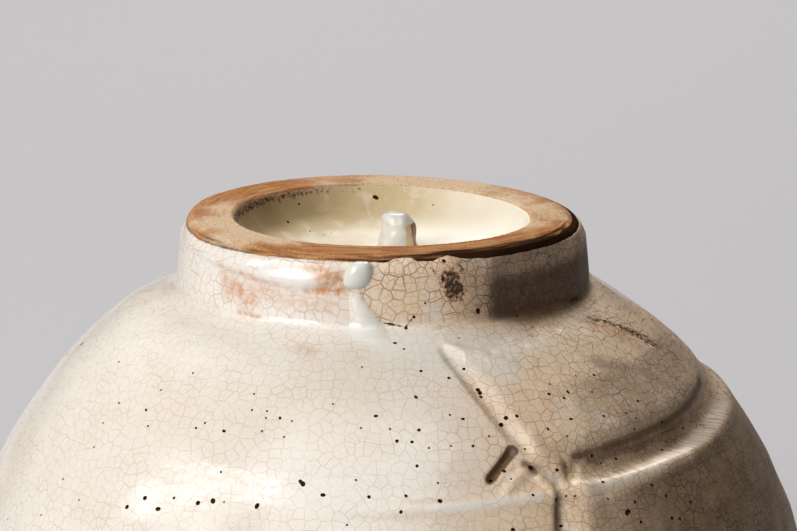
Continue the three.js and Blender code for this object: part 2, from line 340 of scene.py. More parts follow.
def new_piece(name, points, faces=()):
    mesh = bpy.data.meshes.new(name)
    mesh.from_pydata([Vector(point) * MM for point in points], [], faces)
    piece = bpy.data.objects.new(name, mesh)
    bpy.context.scene.collection.objects.link(piece)
    return piece


def turned_piece(name, profile, finish, steps=FINE_SECTOR):
    """The profile starts and ends on the axis, or ends where it starts."""
    piece = new_piece(name, [(r, 0.0, z) for r, z in profile])
    run_tree(piece, TURN_PROFILE, Finish=finish, **steps)
    point_outward(piece.data)
    print(f"{name}: {len(profile)} rows, {len(piece.data.polygons)} faces")
    return piece


def read_points(piece):
    flat = np.empty(len(piece.data.vertices) * 3)
    piece.data.vertices.foreach_get("co", flat)
    return flat.reshape(-1, 3) / MM


def write_points(piece, points):
    piece.data.vertices.foreach_set("co", (points * MM).ravel())
    piece.data.update()


# %% Stretches of a profile
SAME_POINT = 1e-6


def straight(start, end, step):
    count = max(1, math.ceil(math.dist(start, end) / step))
    return [tuple(np.interp(i / count, (0, 1), pair) for pair in zip(start, end)) for i in range(count + 1)]


def wall_arc(from_height, to_height, depth, step):
    """A stretch of the wall's circle between two heights, at a depth under the glazed surface."""
    radius = BOWL_RADIUS - depth
    low, high = (math.asin((z - WIDEST_HEIGHT) / radius) for z in (from_height, to_height))
    count = max(1, math.ceil(abs(high - low) * radius / step))
    angles = np.linspace(low, high, count + 1)
    return [(radius * math.cos(a), WIDEST_HEIGHT + radius * math.sin(a)) for a in angles]


def bend(start, corner, end, count):
    """A smooth bend from start to end that leaves and arrives along the lines to the corner."""
    bent = []
    for t in np.linspace(0, 1, count + 1):
        weights = ((1 - t) ** 2, 2 * t * (1 - t), t * t)
        bent.append(tuple(sum(w * p[i] for w, p in zip(weights, (start, corner, end))) for i in (0, 1)))
    return bent


def foot_radius(height, depth=0.0):
    share = (height - SHOULDER) / (GLAZE_LINE - SHOULDER)
    return FOOT_GLAZE_RADIUS - FOOT_TAPER * share - depth


def joined(*stretches):
    """One profile from stretches that meet, without its doubled points."""
    points = []
    for stretch in stretches:
        points += [p for p in stretch if not points or math.dist(p, points[-1]) > SAME_POINT]
    return points


# %% [markdown]
# ## Finishes
# The glaze is milky white where it lies thick and lets the clay's brown through where it is thin. Iron in
# the clay blushes it orange and spots it, and tea has stained its crackle. All of this is mixed from noise
# on Object coordinates, with soft masks that later cells paint on the pieces as attributes, so nothing
# slides in another view.
# Some of the masks also paint shade and highlights into the glaze and the clay.


# %% Helpers for finishes
def new_finish(name):
    material = bpy.data.materials.new(name)
    material.use_nodes = True
    tree = material.node_tree
    where = add_node(tree, "ShaderNodeTexCoord").outputs["Object"]
    return material, tree, tree.nodes["Principled BSDF"], where


def noise_at(tree, where, size, detail=2.0, channel="Fac"):
    """Soft noise whose lumps are about size millimetres across."""
    made = add_node(tree, "ShaderNodeTexNoise")
    feed(tree, made.inputs["Vector"], where)
    feed(tree, made.inputs["Scale"], 1 / (size * MM))
    feed(tree, made.inputs["Detail"], detail)
    return made.outputs[channel]


def grade(tree, value, low, high, low_result=0.0, high_result=1.0):
    """Goes smoothly from one result to the other while the value goes from low to high."""
    made = add_node(tree, "ShaderNodeMapRange", interpolation_type="SMOOTHSTEP")
    names = ("Value", "From Min", "From Max", "To Min", "To Max")
    for name, given in zip(names, (value, low, high, low_result, high_result)):
        feed(tree, made.inputs[name], given)
    return made.outputs[0]


def mix(tree, share, first, second):
    made = add_node(tree, "ShaderNodeMix", data_type="RGBA")
    for name, given in zip(("Factor", "A", "B"), (share, first, second)):
        feed(tree, open_socket(made.inputs, name), given)
    return open_socket(made.outputs, "Result")


def painted(tree, name):
    return add_node(tree, "ShaderNodeAttribute", attribute_name=name).outputs["Fac"]


def drifted(tree, where, size, reach):
    """Coordinates that noise pushes about by a reach in millimetres, so that lines waver as cracks do."""
    push = add_node(tree, "ShaderNodeVectorMath", operation="MULTIPLY_ADD")
    feed(tree, push.inputs[0], noise_at(tree, where, size, channel="Color"))
    push.inputs[1].default_value = (2 * reach * MM,) * 3
    feed(tree, push.inputs[2], where)
    return push.outputs[0]


def raise_bump(tree, shader, height, depth):
    """A fine bump, whose depth is in millimetres."""
    made = add_node(tree, "ShaderNodeBump")
    made.inputs["Distance"].default_value = depth * MM
    feed(tree, made.inputs["Height"], height)
    feed(tree, shader.inputs["Normal"], made.outputs[0])


# %% [markdown]
# A crackle opens in steps: long cracks first, while the bowl cools, and then shorter ones across the cells
# between them. Three cell patterns give that, the shorter ones in patches and the finest only where the
# glaze is thin. A cell pattern cut through in space has lines of every width, so the wall is unrolled flat
# for it, one belt at a time.

# %% The wall unrolled flat, for even cracks
BELT = 11.0
BELT_EDGE_SIZE, BELT_EDGE_SWAY = 5.0, 6.0
FOOT_UNROLLED_FROM = SHOULDER + 0.4
FOOT_UNROLLED_RADIUS = 29.0
FOOT_CELL_SCALE = 0.95


def unrolled(tree, where):
    """Metres along the azimuth and up the wall, belt by belt, so that a flat pattern keeps its size."""
    parts = add_node(tree, "ShaderNodeSeparateXYZ")
    feed(tree, parts.inputs[0], where)
    x, y, z = parts.outputs
    turn = math_node(tree, "ARCTAN2", x, times(tree, y, -1.0))
    rise = math_node(tree, "DIVIDE", math_node(tree, "SUBTRACT", z, WIDEST_HEIGHT * MM), BOWL_RADIUS * MM)
    angle = math_node(tree, "ARCSINE", math_node(tree, "MINIMUM", rise, 1.0))
    sway = times(tree, noise_at(tree, where, BELT_EDGE_SIZE), BELT_EDGE_SWAY / BOWL_RADIUS)
    belt = BELT / BOWL_RADIUS
    number = math_node(tree, "FLOOR", math_node(tree, "DIVIDE", math_node(tree, "ADD", angle, sway), belt))
    middle = math_node(tree, "COSINE", times(tree, number, belt))
    on_foot = math_node(tree, "GREATER_THAN", z, FOOT_UNROLLED_FROM * MM)
    belt_radius = times(tree, middle, BOWL_RADIUS * MM)
    spare = math_node(tree, "SUBTRACT", FOOT_UNROLLED_RADIUS * MM, belt_radius)
    radius = math_node(tree, "MULTIPLY_ADD", on_foot, spare, belt_radius)
    up_wall = times(tree, angle, BOWL_RADIUS * MM)
    up = math_node(tree, "MULTIPLY_ADD", on_foot, math_node(tree, "SUBTRACT", z, up_wall), up_wall)
    flat = add_node(tree, "ShaderNodeCombineXYZ")
    feed(tree, flat.inputs[0], times(tree, turn, radius))
    feed(tree, flat.inputs[1], up)
    sized = add_node(tree, "ShaderNodeVectorMath", operation="SCALE")
    feed(tree, sized.inputs["Vector"], flat.outputs[0])
    feed(tree, sized.inputs["Scale"], math_node(tree, "MULTIPLY_ADD", on_foot, FOOT_CELL_SCALE - 1, 1.0))
    return sized.outputs[0]


# %% Cells and the cracks between them
CELL_RANDOMNESS = 0.85
LONG_CRACK, SHORT_CRACK, FINE_CRACK = 0.11, 0.075, 0.07
FINE_CELLS = 0.9


def crackle(tree, where, size, flat, feature):
    """Cells of about size millimetres."""
    made = add_node(tree, "ShaderNodeTexVoronoi", feature=feature)
    made.voronoi_dimensions = "2D" if flat else "3D"
    feed(tree, made.inputs["Vector"], where)
    feed(tree, made.inputs["Scale"], 1 / (size * MM))
    feed(tree, made.inputs["Randomness"], CELL_RANDOMNESS)
    return made.outputs


def cracks_at(tree, where, size, width, flat):
    """1 on the lines between the cells, and 0 off them."""
    distance = crackle(tree, where, size, flat, "DISTANCE_TO_EDGE")["Distance"]
    return grade(tree, distance, width / size / 4, width / size, 1.0, 0.0)


def all_cracks(tree, where, wavering, thin_and_shade, cells, flat):
    long_cracks = cracks_at(tree, wavering, cells[0], LONG_CRACK, flat)
    short_cracks = cracks_at(tree, wavering, cells[1], SHORT_CRACK, flat)
    fine_cracks = cracks_at(tree, wavering, cells[1] * FINE_CELLS, FINE_CRACK, flat)
    in_patches = grade(tree, noise_at(tree, where, 7), 0.38, 0.6, 0.25, 0.7)
    where_thin = grade(tree, thin_and_shade, 0.4, 0.65, 0.0, 0.8)
    cracks = math_node(tree, "MAXIMUM", long_cracks, times(tree, short_cracks, in_patches))
    return math_node(tree, "MAXIMUM", cracks, times(tree, fine_cracks, where_thin))


# %% [markdown]
# The coat between the cracks isn't even. Each cell has a tint of its own, the brown of thin glaze, which also
# paints shade in places, swings in soft patches, and whitish blotches float in it. The cracks are darker
# where the glaze is thin and where shade is painted, and fade where it is milky and where a highlight is
# painted.

# %% The colours of a glaze
BLUSH = (0.54, 0.22, 0.065, 1)
RUST = (0.20, 0.095, 0.04, 1)
IRON = (0.045, 0.021, 0.01, 1)
# Milky white, which also paints the highlight on the ring's ridge.
MILK_AND_HIGHLIGHT = (0.79, 0.78, 0.735, 1)
CELL_SWING, PATCH_SWING = (0.3, 0.03), (1.0, 0.2)


def uneven_thin_and_shade(tree, where, cell_tint):
    """The painted thinness and painted shade, swinging from cell to cell and from patch to patch, less where
    high.
    """
    thin_and_shade = painted(tree, "thin_and_shade")
    patches = noise_at(tree, where, 3.0, 4)
    for tint, (most, least) in ((cell_tint, CELL_SWING), (patches, PATCH_SWING)):
        swing = math_node(tree, "SUBTRACT", tint, 0.5)
        swing = times(tree, swing, grade(tree, thin_and_shade, 0.45, 0.72, most, least))
        thin_and_shade = math_node(tree, "MULTIPLY_ADD", swing, thin_and_shade, thin_and_shade)
    return thin_and_shade


def glaze_colour(tree, where, thin_and_shade, thick, veiled, tanned, thinned):
    clouds = grade(tree, noise_at(tree, where, 16), 0.35, 0.7)
    mottle = grade(tree, noise_at(tree, where, 2.2, 4), 0.45, 0.75, 0, 0.55)
    colour = mix(tree, mottle, mix(tree, clouds, thick, veiled), veiled)
    colour = mix(tree, grade(tree, thin_and_shade, 0.0, 0.5), colour, tanned)
    colour = mix(tree, grade(tree, thin_and_shade, 0.5, 1.0), colour, thinned)
    blotches = grade(tree, noise_at(tree, drifted(tree, where, 9, 4), 2.6, 4), 0.52, 0.66, 0, 0.45)
    tan_zone = times(tree, grade(tree, thin_and_shade, 0.2, 0.4), grade(tree, thin_and_shade, 0.6, 0.8, 1.0, 0.1))
    colour = mix(tree, times(tree, blotches, tan_zone), colour, veiled)
    grain = grade(tree, noise_at(tree, where, 0.9, 4), 0.36, 0.62, 0.45, 1.0)
    colour = mix(tree, times(tree, painted(tree, "blush"), grain), colour, BLUSH)
    return mix(tree, painted(tree, "milk_and_highlight"), colour, MILK_AND_HIGHLIGHT)


def crack_stain(tree, where, thin_and_shade, crack, old_crack, faintest):
    """How much of the cracks shows, and their colour."""
    stain = math_node(tree, "MULTIPLY_ADD", painted(tree, "stain"), 1 - faintest, faintest)
    in_patches = grade(tree, noise_at(tree, where, 4, 3), 0.3, 0.7, 0.45, 1.0)
    healed = math_node(tree, "SUBTRACT", 1.0, painted(tree, "milk_and_highlight"))
    colour = mix(tree, grade(tree, thin_and_shade, 0.1, 0.4), crack, old_crack)
    colour = mix(tree, grade(tree, thin_and_shade, 0.5, 0.85), colour, IRON)
    return times(tree, stain, in_patches, healed), colour


# %% Crackled glaze
CRACK_WAVE, CRACK_SWAY = 2.5, 0.3
CRACK_SUNK, PEEL_DEPTH = 0.06, 0.05
THIN_ROUGHER = 0.44


def crackled_glaze(
    name, thick, veiled, tanned, thinned, crack, old_crack,
    cells=(1.65, 1.05), faintest=0.3, flat=True, gloss=(0.12, 0.24),
):
    material, tree, shader, where = new_finish(name)
    wavering = drifted(tree, unrolled(tree, where) if flat else where, CRACK_WAVE, CRACK_SWAY)
    cell_tint = crackle(tree, wavering, cells[0], flat, "F1")["Color"] if flat else 0.5
    thin_and_shade = uneven_thin_and_shade(tree, where, cell_tint)
    colour = glaze_colour(tree, where, thin_and_shade, thick, veiled, tanned, thinned)
    cracks = all_cracks(tree, where, wavering, thin_and_shade, cells, flat)
    shown, stain_colour = crack_stain(tree, where, thin_and_shade, crack, old_crack, faintest)
    colour = mix(tree, times(tree, cracks, shown), colour, stain_colour)

    spots = math_node(tree, "MULTIPLY_ADD", noise_at(tree, where, 0.5, 6), 1.1, painted(tree, "iron"))
    colour = mix(tree, grade(tree, spots, 0.82, 1.02, 0, 0.8), colour, RUST)
    colour = mix(tree, grade(tree, spots, 0.96, 1.12), colour, IRON)
    feed(tree, shader.inputs["Base Color"], colour)
    rough = grade(tree, noise_at(tree, where, 5), 0.3, 0.7, *gloss)
    rough = math_node(tree, "MULTIPLY_ADD", grade(tree, thin_and_shade, 0.2, 0.8), THIN_ROUGHER, rough)
    feed(tree, shader.inputs["Roughness"], rough)
    peel = math_node(tree, "MULTIPLY_ADD", cracks, -CRACK_SUNK, noise_at(tree, where, 1.7))
    raise_bump(tree, shader, peel, PEEL_DEPTH)
    return material


# The thinned colours are the brown of thin glaze, and also paint shade where the thin mask is full.
cream_glaze = crackled_glaze(
    "cream_glaze", thick=(0.815, 0.765, 0.70, 1), veiled=(0.765, 0.69, 0.60, 1),
    tanned=(0.755, 0.562, 0.378, 1), thinned=(0.122, 0.067, 0.028, 1),
    crack=(0.35, 0.18, 0.08, 1), old_crack=(0.13, 0.04, 0.009, 1),
)
well_cream = crackled_glaze(
    "well_cream", thick=(0.80, 0.745, 0.645, 1), veiled=(0.73, 0.66, 0.53, 1),
    tanned=(0.55, 0.43, 0.25, 1), thinned=(0.24, 0.155, 0.058, 1),
    crack=(0.36, 0.29, 0.17, 1), old_crack=(0.25, 0.17, 0.07, 1),
    cells=(3.4, 2.2), faintest=0.06, flat=False, gloss=(0.5, 0.6),
)
print("glazes:", cream_glaze.name, well_cream.name)

# %% [markdown]
# The standing face is bare clay, toasted orange by the kiln. The trimming tool left streaks round the axis,
# so the noise is stretched along the azimuth. Ash paled it in patches. The edge below the face is painted
# almost black, partly as clay that the fire scorched and partly as the shade under the face's rim.

# %% Bare clay
CLAY = (0.50, 0.262, 0.12, 1)
EMBER = (0.32, 0.122, 0.045, 1)
ASH = (0.66, 0.495, 0.335, 1)
# Near black: scorched clay, and painted shade on the edge below the face.
TOAST_AND_SHADE = (0.038, 0.017, 0.008, 1)
GRIT = (0.13, 0.055, 0.022, 1)
CLAY_ROUGHNESS = 0.9
TURN_SQUEEZE = 2.2
STREAK, GRAIN = 0.5, 0.28
GRAIN_DEPTH = 0.12


def round_the_axis(tree, where):
    """Coordinates of radius, azimuth and height, in which streaks round the axis are straight."""
    parts = add_node(tree, "ShaderNodeSeparateXYZ")
    feed(tree, parts.inputs[0], where)
    x, y, z = parts.outputs
    squares = math_node(tree, "ADD", times(tree, x, x), times(tree, y, y))
    unwound = add_node(tree, "ShaderNodeCombineXYZ")
    feed(tree, unwound.inputs[0], math_node(tree, "SQRT", squares))
    feed(tree, unwound.inputs[1], times(tree, math_node(tree, "ARCTAN2", x, y), TURN_SQUEEZE * MM))
    feed(tree, unwound.inputs[2], z)
    return unwound.outputs[0]


def bare_clay():
    material, tree, shader, where = new_finish("stoneware")
    shader.inputs["Roughness"].default_value = CLAY_ROUGHNESS
    shader.inputs["Specular IOR Level"].default_value = 0.0
    streaks = noise_at(tree, round_the_axis(tree, where), STREAK, 4)
    colour = mix(tree, grade(tree, streaks, 0.35, 0.65), CLAY, EMBER)
    ash = math_node(tree, "MULTIPLY_ADD", painted(tree, "ash"), 1.6, -1.75)
    ash = math_node(tree, "MULTIPLY_ADD", noise_at(tree, where, 6, 3), 1.6, ash)
    ash = math_node(tree, "ADD", ash, streaks)
    colour = mix(tree, grade(tree, ash, 0.15, 0.75, 0, 0.92), colour, ASH)
    grains = noise_at(tree, where, GRAIN, 3)
    colour = mix(tree, grade(tree, grains, 0.53, 0.68, 0, 0.6), colour, GRIT)
    swing = math_node(tree, "SUBTRACT", streaks, 0.5)
    toast_and_shade = math_node(tree, "MULTIPLY_ADD", swing, 0.8, painted(tree, "toast_and_shade"))
    colour = mix(tree, grade(tree, toast_and_shade, 0.3, 0.65), colour, TOAST_AND_SHADE)
    feed(tree, shader.inputs["Base Color"], colour)
    raise_bump(tree, shader, math_node(tree, "MULTIPLY_ADD", streaks, 0.35, grains), GRAIN_DEPTH)
    return material


stoneware = bare_clay()

# %% [markdown]
# Glaze that ran separately healed over without a crackle. It is bluish, smooth and the glossiest part of
# the bowl. At the bottom of a pinhole the bare body shows, matt, painted almost black as the shade in the
# hole.

# %% Pale run glaze, and the inside of a pinhole
WORN_SHADES = (("bare", (0.60, 0.46, 0.28, 1)), ("toast_and_shade", (0.20, 0.09, 0.035, 1)))


def plain_finish(name, roughness, light, dark, size, bump_depth, gloss=0.5):
    material, tree, shader, where = new_finish(name)
    shader.inputs["Roughness"].default_value = roughness
    shader.inputs["Specular IOR Level"].default_value = gloss
    drift = noise_at(tree, where, size, 3)
    colour = mix(tree, grade(tree, drift, 0.3, 0.7), light, dark)
    for mask, shade in WORN_SHADES:
        worn = math_node(tree, "MULTIPLY_ADD", drift, 0.5, painted(tree, mask))
        colour = mix(tree, grade(tree, worn, 0.55, 0.8), colour, shade)
    feed(tree, shader.inputs["Base Color"], colour)
    raise_bump(tree, shader, drift, bump_depth)
    return material


pale_glaze = plain_finish(
    "pale_glaze", 0.14, (0.665, 0.69, 0.65, 1), (0.70, 0.69, 0.635, 1), size=1.4, bump_depth=0.03
)
boss_white = plain_finish(
    "boss_white", 0.3, (0.68, 0.665, 0.64, 1), (0.65, 0.615, 0.56, 1), size=1.2, bump_depth=0.05
)
# Near black: the bare body in a pinhole, with its shade painted in.
pinhole_dark = plain_finish(
    "pinhole_dark", 0.9, (0.075, 0.034, 0.015, 1), (0.02, 0.01, 0.005, 1), size=0.2, bump_depth=0.02,
    gloss=0.0,
)
print("other finishes:", stoneware.name, pale_glaze.name, boss_white.name, pinhole_dark.name)

# %% [markdown]
# ## The plain turned coat
# The coat on the outside is a closed shell: up the wall, over the glaze that pooled in the angle of the
# foot, up the foot to the glaze line, and back down on the clay. It is turned plain at first, because the
# marks of the spatula are read from the picture, and a plain wall is what the camera's rays are followed
# to.

# %% The outside coat, before any mark
FINE_ROW, WALL_ROW, UNDER_ROW = 0.42, 1.25, 5.0
MARKED_FROM = 43.0
COAT_ROUND = 0.4
COAT_EDGE_DROP = 0.05
SLIP = 0.03

pool_on_wall = WIDEST_HEIGHT + math.sqrt(BOWL_RADIUS**2 - (FOOT_GLAZE_RADIUS + POOL_REACH) ** 2)
pool_on_foot = SHOULDER + POOL_REACH
edge_low = GLAZE_LINE - COAT_ROUND
under_corner = WIDEST_HEIGHT + math.sqrt((BOWL_RADIUS - COAT + SLIP) ** 2 - (FOOT_CLAY_RADIUS + SLIP) ** 2)

wall_rows = wall_arc(LIP_BAND, MARKED_FROM, 0, WALL_ROW) + wall_arc(MARKED_FROM, pool_on_wall, 0, FINE_ROW)
pool_end = (foot_radius(pool_on_foot), pool_on_foot)
pool_rows = bend(wall_rows[-1], (FOOT_GLAZE_RADIUS, SHOULDER), pool_end, 8)
foot_rows = straight(pool_rows[-1], (foot_radius(edge_low), edge_low), FINE_ROW)
edge_top = (foot_radius(GLAZE_LINE), GLAZE_LINE)
edge_back = (foot_radius(GLAZE_LINE, COAT - SLIP), GLAZE_LINE - COAT_EDGE_DROP)
edge_rows = bend(foot_rows[-1], edge_top, edge_back, 4)
under_rows = straight(edge_rows[-1], (FOOT_CLAY_RADIUS + SLIP, under_corner), 1.5)
under_rows += wall_arc(under_corner, LIP_BAND, COAT - SLIP, UNDER_ROW)
coat_profile = joined(wall_rows, pool_rows, foot_rows, edge_rows, under_rows, wall_rows[:1])
glaze_outside = turned_piece("glaze_outside", coat_profile, cream_glaze)


# %% Following a pixel of the picture to a surface
BEAD_PIXEL = (358, 275.5)


def pixel_ray(px, py):
    towards = Vector((px - PHOTO_WIDTH / 2, PHOTO_HEIGHT / 2 - py, -PIXELS_PER_RADIAN))
    return (camera.rotation_euler.to_matrix() @ towards).normalized()


def surface_of(piece):
    mesh = piece.data
    return BVHTree.FromPolygons([v.co for v in mesh.vertices], [p.vertices for p in mesh.polygons])


def at_pixel(surface, px, py):
    """The place in millimetres and the normal where a pixel's ray first meets a surface, or None."""
    place, normal, _, _ = surface.ray_cast(camera.location, pixel_ray(px, py))
    return None if place is None else (np.array(place) / MM, np.array(normal))


plain_surface = surface_of(glaze_outside)
print("the bead hangs at", at_pixel(plain_surface, *BEAD_PIXEL)[0].round(1))

# %% [markdown]
# ## The relief of the wall
# A thrown wall is never quite round. Its relief is a height in millimetres over the plain turned shape,
# worked out from an azimuth and a height, so that the clay and the coat on it share it. The wall is fuller
# on the left of the shoulder and on the right of the belly. It keeps the ridges of the potter's fingers,
# and a ring with a groove above it, deepest on the right.

# %% Slow shapes: lean, throwing ridges, the ring and its groove
LEFT_BY_HEIGHT = (
    (0, 0.0), (40, 0.0), (54, 0.15), (60, 0.62), (66, 0.85), (67.5, 0.4), (69.5, -0.5), (71, -0.3), (73, 0.0),
)
RIGHT_BY_HEIGHT = (
    (0, 0.0), (30, 0.25), (42, 0.45), (52, 0.45), (62, 0.05), (66, -0.1), (70, 0.05), (73, 0.0),
)
RING_HEIGHT_ROUND = (
    (-180, 51.6), (-60, 51.0), (-30, 51.6), (0, 51.4), (20, 51.7), (35, 51.8), (50, 52.3), (62, 52.4),
    (72, 53.1), (85, 53.6), (100, 54.2), (130, 53.2), (180, 51.6),
)
GROOVE_DEPTH_ROUND = (
    (-180, 0.2), (-90, 0.0), (-12, 0.0), (12, 0.12), (29, 0.35), (38, 1.5), (58, 2.2), (72, 1.8), (85, 1.0),
    (100, 0.45), (130, 0.3), (180, 0.2),
)
RING_PROUD_ROUND = (
    (-180, 0.2), (-90, 0.0), (-14, 0.0), (0, 0.22), (5, 0.28), (35, 0.4), (50, 0.46), (80, 0.4), (100, 0.2),
    (180, 0.2),
)
RING_HALF_WIDTH = 1.4
GROOVE_FALL = (0.2, 2.3)
GROOVE_WALL = (2.6, 6.2)
THROWING_PITCH = 7.5
THROWING_DEPTH = 0.08
THROWING_END = (44, 50)
WALL_CENTRE = np.array((0, 0, WIDEST_HEIGHT))
LEAST_LENGTH = 1e-6


def bump(distance, half_width):
    """1 at a distance of 0, falling smoothly to 0 at half_width."""
    share = np.clip(np.abs(distance) / half_width, 0, 1)
    return (1 - share * share) ** 2


def ramp(value, low, high):
    """0 up to low and 1 from high, with a smooth rise between them."""
    share = np.clip((value - low) / (high - low), 0, 1)
    return share * share * (3 - 2 * share)


def within(value, rise, fall):
    """1 between a smooth rise from 0 and a smooth fall back to it."""
    return ramp(value, *rise) * (1 - ramp(value, *fall))


def along(value, pairs):
    return np.interp(value, *zip(*pairs))


def smooth_noise(points, size, seed):
    """Soft noise of about -1 to 1 at points in millimetres, with lumps of the given size."""
    shift = Vector((seed * 17.3, seed * 5.1, seed * 29.7))
    return np.array([noise.noise(Vector(point) / size + shift) for point in points])


def lumps_at(points, lumps):
    """Lumps of several sizes at once. Each has a size and a height in millimetres, and a seed."""
    return sum(height * smooth_noise(points, size, seed) for size, height, seed in lumps)


def azimuth_of(points):
    return np.degrees(np.arctan2(points[:, 0], -points[:, 1]))


def radius_of(points):
    return np.linalg.norm(points[:, :2], axis=1)


def outward_from_axis(points, least_radius=LEAST_LENGTH):
    return points * (1, 1, 0) / np.maximum(radius_of(points), least_radius)[:, None]


def turned_relief(azimuth, height):
    side = np.sin(np.radians(azimuth))
    lean = along(height, RIGHT_BY_HEIGHT) * np.maximum(side, 0)
    lean += along(height, LEFT_BY_HEIGHT) * np.maximum(-side, 0)
    over_ring = height - along(azimuth, RING_HEIGHT_ROUND)
    ring = along(azimuth, RING_PROUD_ROUND) * bump(over_ring, RING_HALF_WIDTH)
    groove = within(over_ring, GROOVE_FALL, GROOVE_WALL)
    fingers = np.sin(2 * np.pi * (height / THROWING_PITCH + azimuth / 360))
    fingers *= 1 - ramp(height, *THROWING_END)
    return lean + ring - along(azimuth, GROOVE_DEPTH_ROUND) * groove + THROWING_DEPTH * fingers


# %% [markdown]
# ## Strokes of the spatula
# While the clay was leather hard it was cut with a spatula: a long stroke down from the shoulder, a short
# deep gouge at its end, and a stroke straight down from there. A stroke is a few pixels of the picture,
# each with a depth and with the width of its left and right wall. The clay that the tool pushed aside
# stands up beside it.

# %% Strokes: x, y, depth, left width, right width (millimetres)
CUTS = (
    (
        (443, 350, 0.2, 1.0, 1.4), (453, 362, 0.5, 1.3, 2.6), (466, 378, 0.5, 1.4, 3.0),
        (482, 398, 0.6, 1.5, 3.2), (498, 418, 0.6, 1.5, 3.0), (513, 437, 0.65, 1.5, 2.4),
        (524, 447, 0.5, 1.4, 1.6),
    ),
    ((511, 452, 0.55, 0.9, 0.7), (501, 466, 0.7, 0.95, 0.7), (490, 480, 0.55, 0.9, 0.7)),
    (
        (556, 488, 0.4, 1.0, 1.6), (560, 500, 0.9, 1.2, 2.6), (560, 531, 0.9, 1.3, 3.0),
        (555, 580, 0.5, 1.4, 2.6),
    ),
    ((577, 466, 0.4, 1.1, 1.0), (571, 478, 0.4, 1.0, 1.0)),
)
BURRS = (
    (
        (580, 482, 0.35, 2.0, 3.0), (587, 500, 0.5, 2.2, 3.4), (590, 531, 0.5, 2.2, 3.6),
        (588, 590, 0.2, 2.0, 3.0),
    ),
    ((532, 440, 0.25, 1.6, 2.2), (541, 455, 0.35, 1.8, 2.0), (556, 463, 0.3, 1.8, 1.8)),
    (
        (444, 343, 0.2, 1.2, 1.4), (462, 352, 0.4, 1.0, 1.8), (486, 357, 0.3, 1.5, 2.0),
        (508, 361, 0.15, 1.5, 1.8),
    ),
    ((506, 491, 0.3, 1.0, 1.3), (521, 474, 0.35, 1.0, 1.5), (536, 462, 0.15, 1.2, 1.5)),
    ((540, 478, 0.3, 1.2, 1.4), (552, 492, 0.3, 1.2, 1.2)),
)


def off_line(points, start, end):
    """How far along a line the points lie, from 0 to 1, and the way from the line to each of them."""
    step = end - start
    share = np.clip((points - start) @ step / (step @ step), 0, 1)[:, None]
    return share, points - start - share * step


def stroke_depth(points, east, stroke):
    """How deep one stroke is at points of the plain wall, where east is the way of growing azimuth."""
    places = [at_pixel(plain_surface, px, py) for px, py, *_ in stroke]
    deepest = np.zeros(len(points))
    for i in range(len(stroke) - 1):
        share, off = off_line(points, places[i][0], places[i + 1][0])
        depth, left, right = ((1 - share) * stroke[i][2:] + share * stroke[i + 1][2:]).T
        width = np.where(np.sum(off * east, axis=1) > 0, right, left)
        near = 1 - np.linalg.norm(off, axis=1) / width
        deepest = np.maximum(deepest, depth * ramp(near, 0, 1))
    return deepest


def all_strokes(points):
    turn = np.radians(azimuth_of(points))
    east = np.stack([np.cos(turn), np.sin(turn), np.zeros_like(turn)], axis=1)
    depths = [[stroke_depth(points, east, stroke) for stroke in strokes] for strokes in (CUTS, BURRS)]
    cut, raised = (np.max(each, axis=0) for each in depths)
    return raised - cut


# %% [markdown]
# ## The foot's wall and its glaze line
# The glaze hangs thick on the upper left of the foot and thin below that, and its upper edge wanders: it
# reaches the standing face on the left, licks up onto the edge at the front and stops short of it on the
# right. The trimming tool left a flat on the right of the foot, whose near edge is where the shade begins.
# Glaze that is moved up the foot keeps to its lean, and it thins out towards its edge.

# %% Relief of the foot, and the wandering glaze line
LINE_DROP_ROUND = (
    (-180, 0.6), (-120, 0.5), (-90, 0.7), (-66, 0.95), (-44, 0.75), (-25, 0.55), (-8, 0.42), (0.5, 0.45),
    (2, 0.3), (4, -0.05), (8.5, -0.05), (10, 0.42), (14.5, 0.5), (16.5, 0.05), (19, -0.05), (21, 0.1),
    (24, 0.5), (30, 0.7), (40, 0.95), (59, 1.25), (75, 1.05), (100, 0.9), (140, 0.8), (180, 0.6),
)
LINE_CRUMBS = ((1.6, 0.1, 14), (0.5, 0.04, 15))
LINE_REACH = 3.5
THIN_EDGE, THIN_EDGE_HEIGHT = 0.46, 1.8
THICK_BAND_LOW = ((-90, 77.4), (-62, 77.2), (-35, 75.9), (-22, 75.4), (-14, 76.4), (-9, 78.0))
THICK_BAND_PROUD, THICK_BAND_EASED = 0.5, 0.7
THICK_BAND_SWELLS, THICK_BAND_EASES = (-0.12, 0.25), (0.2, 1.0)
THICK_BAND_BEGINS, THICK_BAND_ENDS = (-95, -60), (-16, -9)
CREASE = ((40, 74.2), (55, 75.0), (68, 75.9))
CREASE_DEPTH, CREASE_HALF_WIDTH = 0.22, 0.7
CREASE_BEGINS, CREASE_ENDS = (38, 44), (64, 72)
COAT_RELIEF_FROM = (SHOULDER + 1.0, SHOULDER + 2.5)
FLAT_ROUND = (
    (-180, 0.0), (27, 0.0), (30, 0.06), (31.5, 0.0), (33.5, -0.24), (36, -0.68), (39, -1.12), (42, -1.43),
    (52, -1.55), (62, -0.9), (73, 0.1), (86, 0.3), (100, 0.3), (115, 0.15), (135, 0.0), (180, 0.0),
)
FLAT_BEGINS, FLAT_ENDS = (SHOULDER, SHOULDER + 1.1), (GLAZE_LINE - 0.8, BOWL_HEIGHT - 0.1)
TRIMMED_ROUND = ((-180, 0.0), (18, 0.0), (30, 0.45), (40, 0.95), (64, 1.0), (80, 0.5), (105, 0.0), (180, 0.0))
TRIMMED_BEGINS, TRIMMED_ENDS = (SHOULDER - 4.2, SHOULDER - 0.2), (SHOULDER + 0.6, SHOULDER + 4.5)


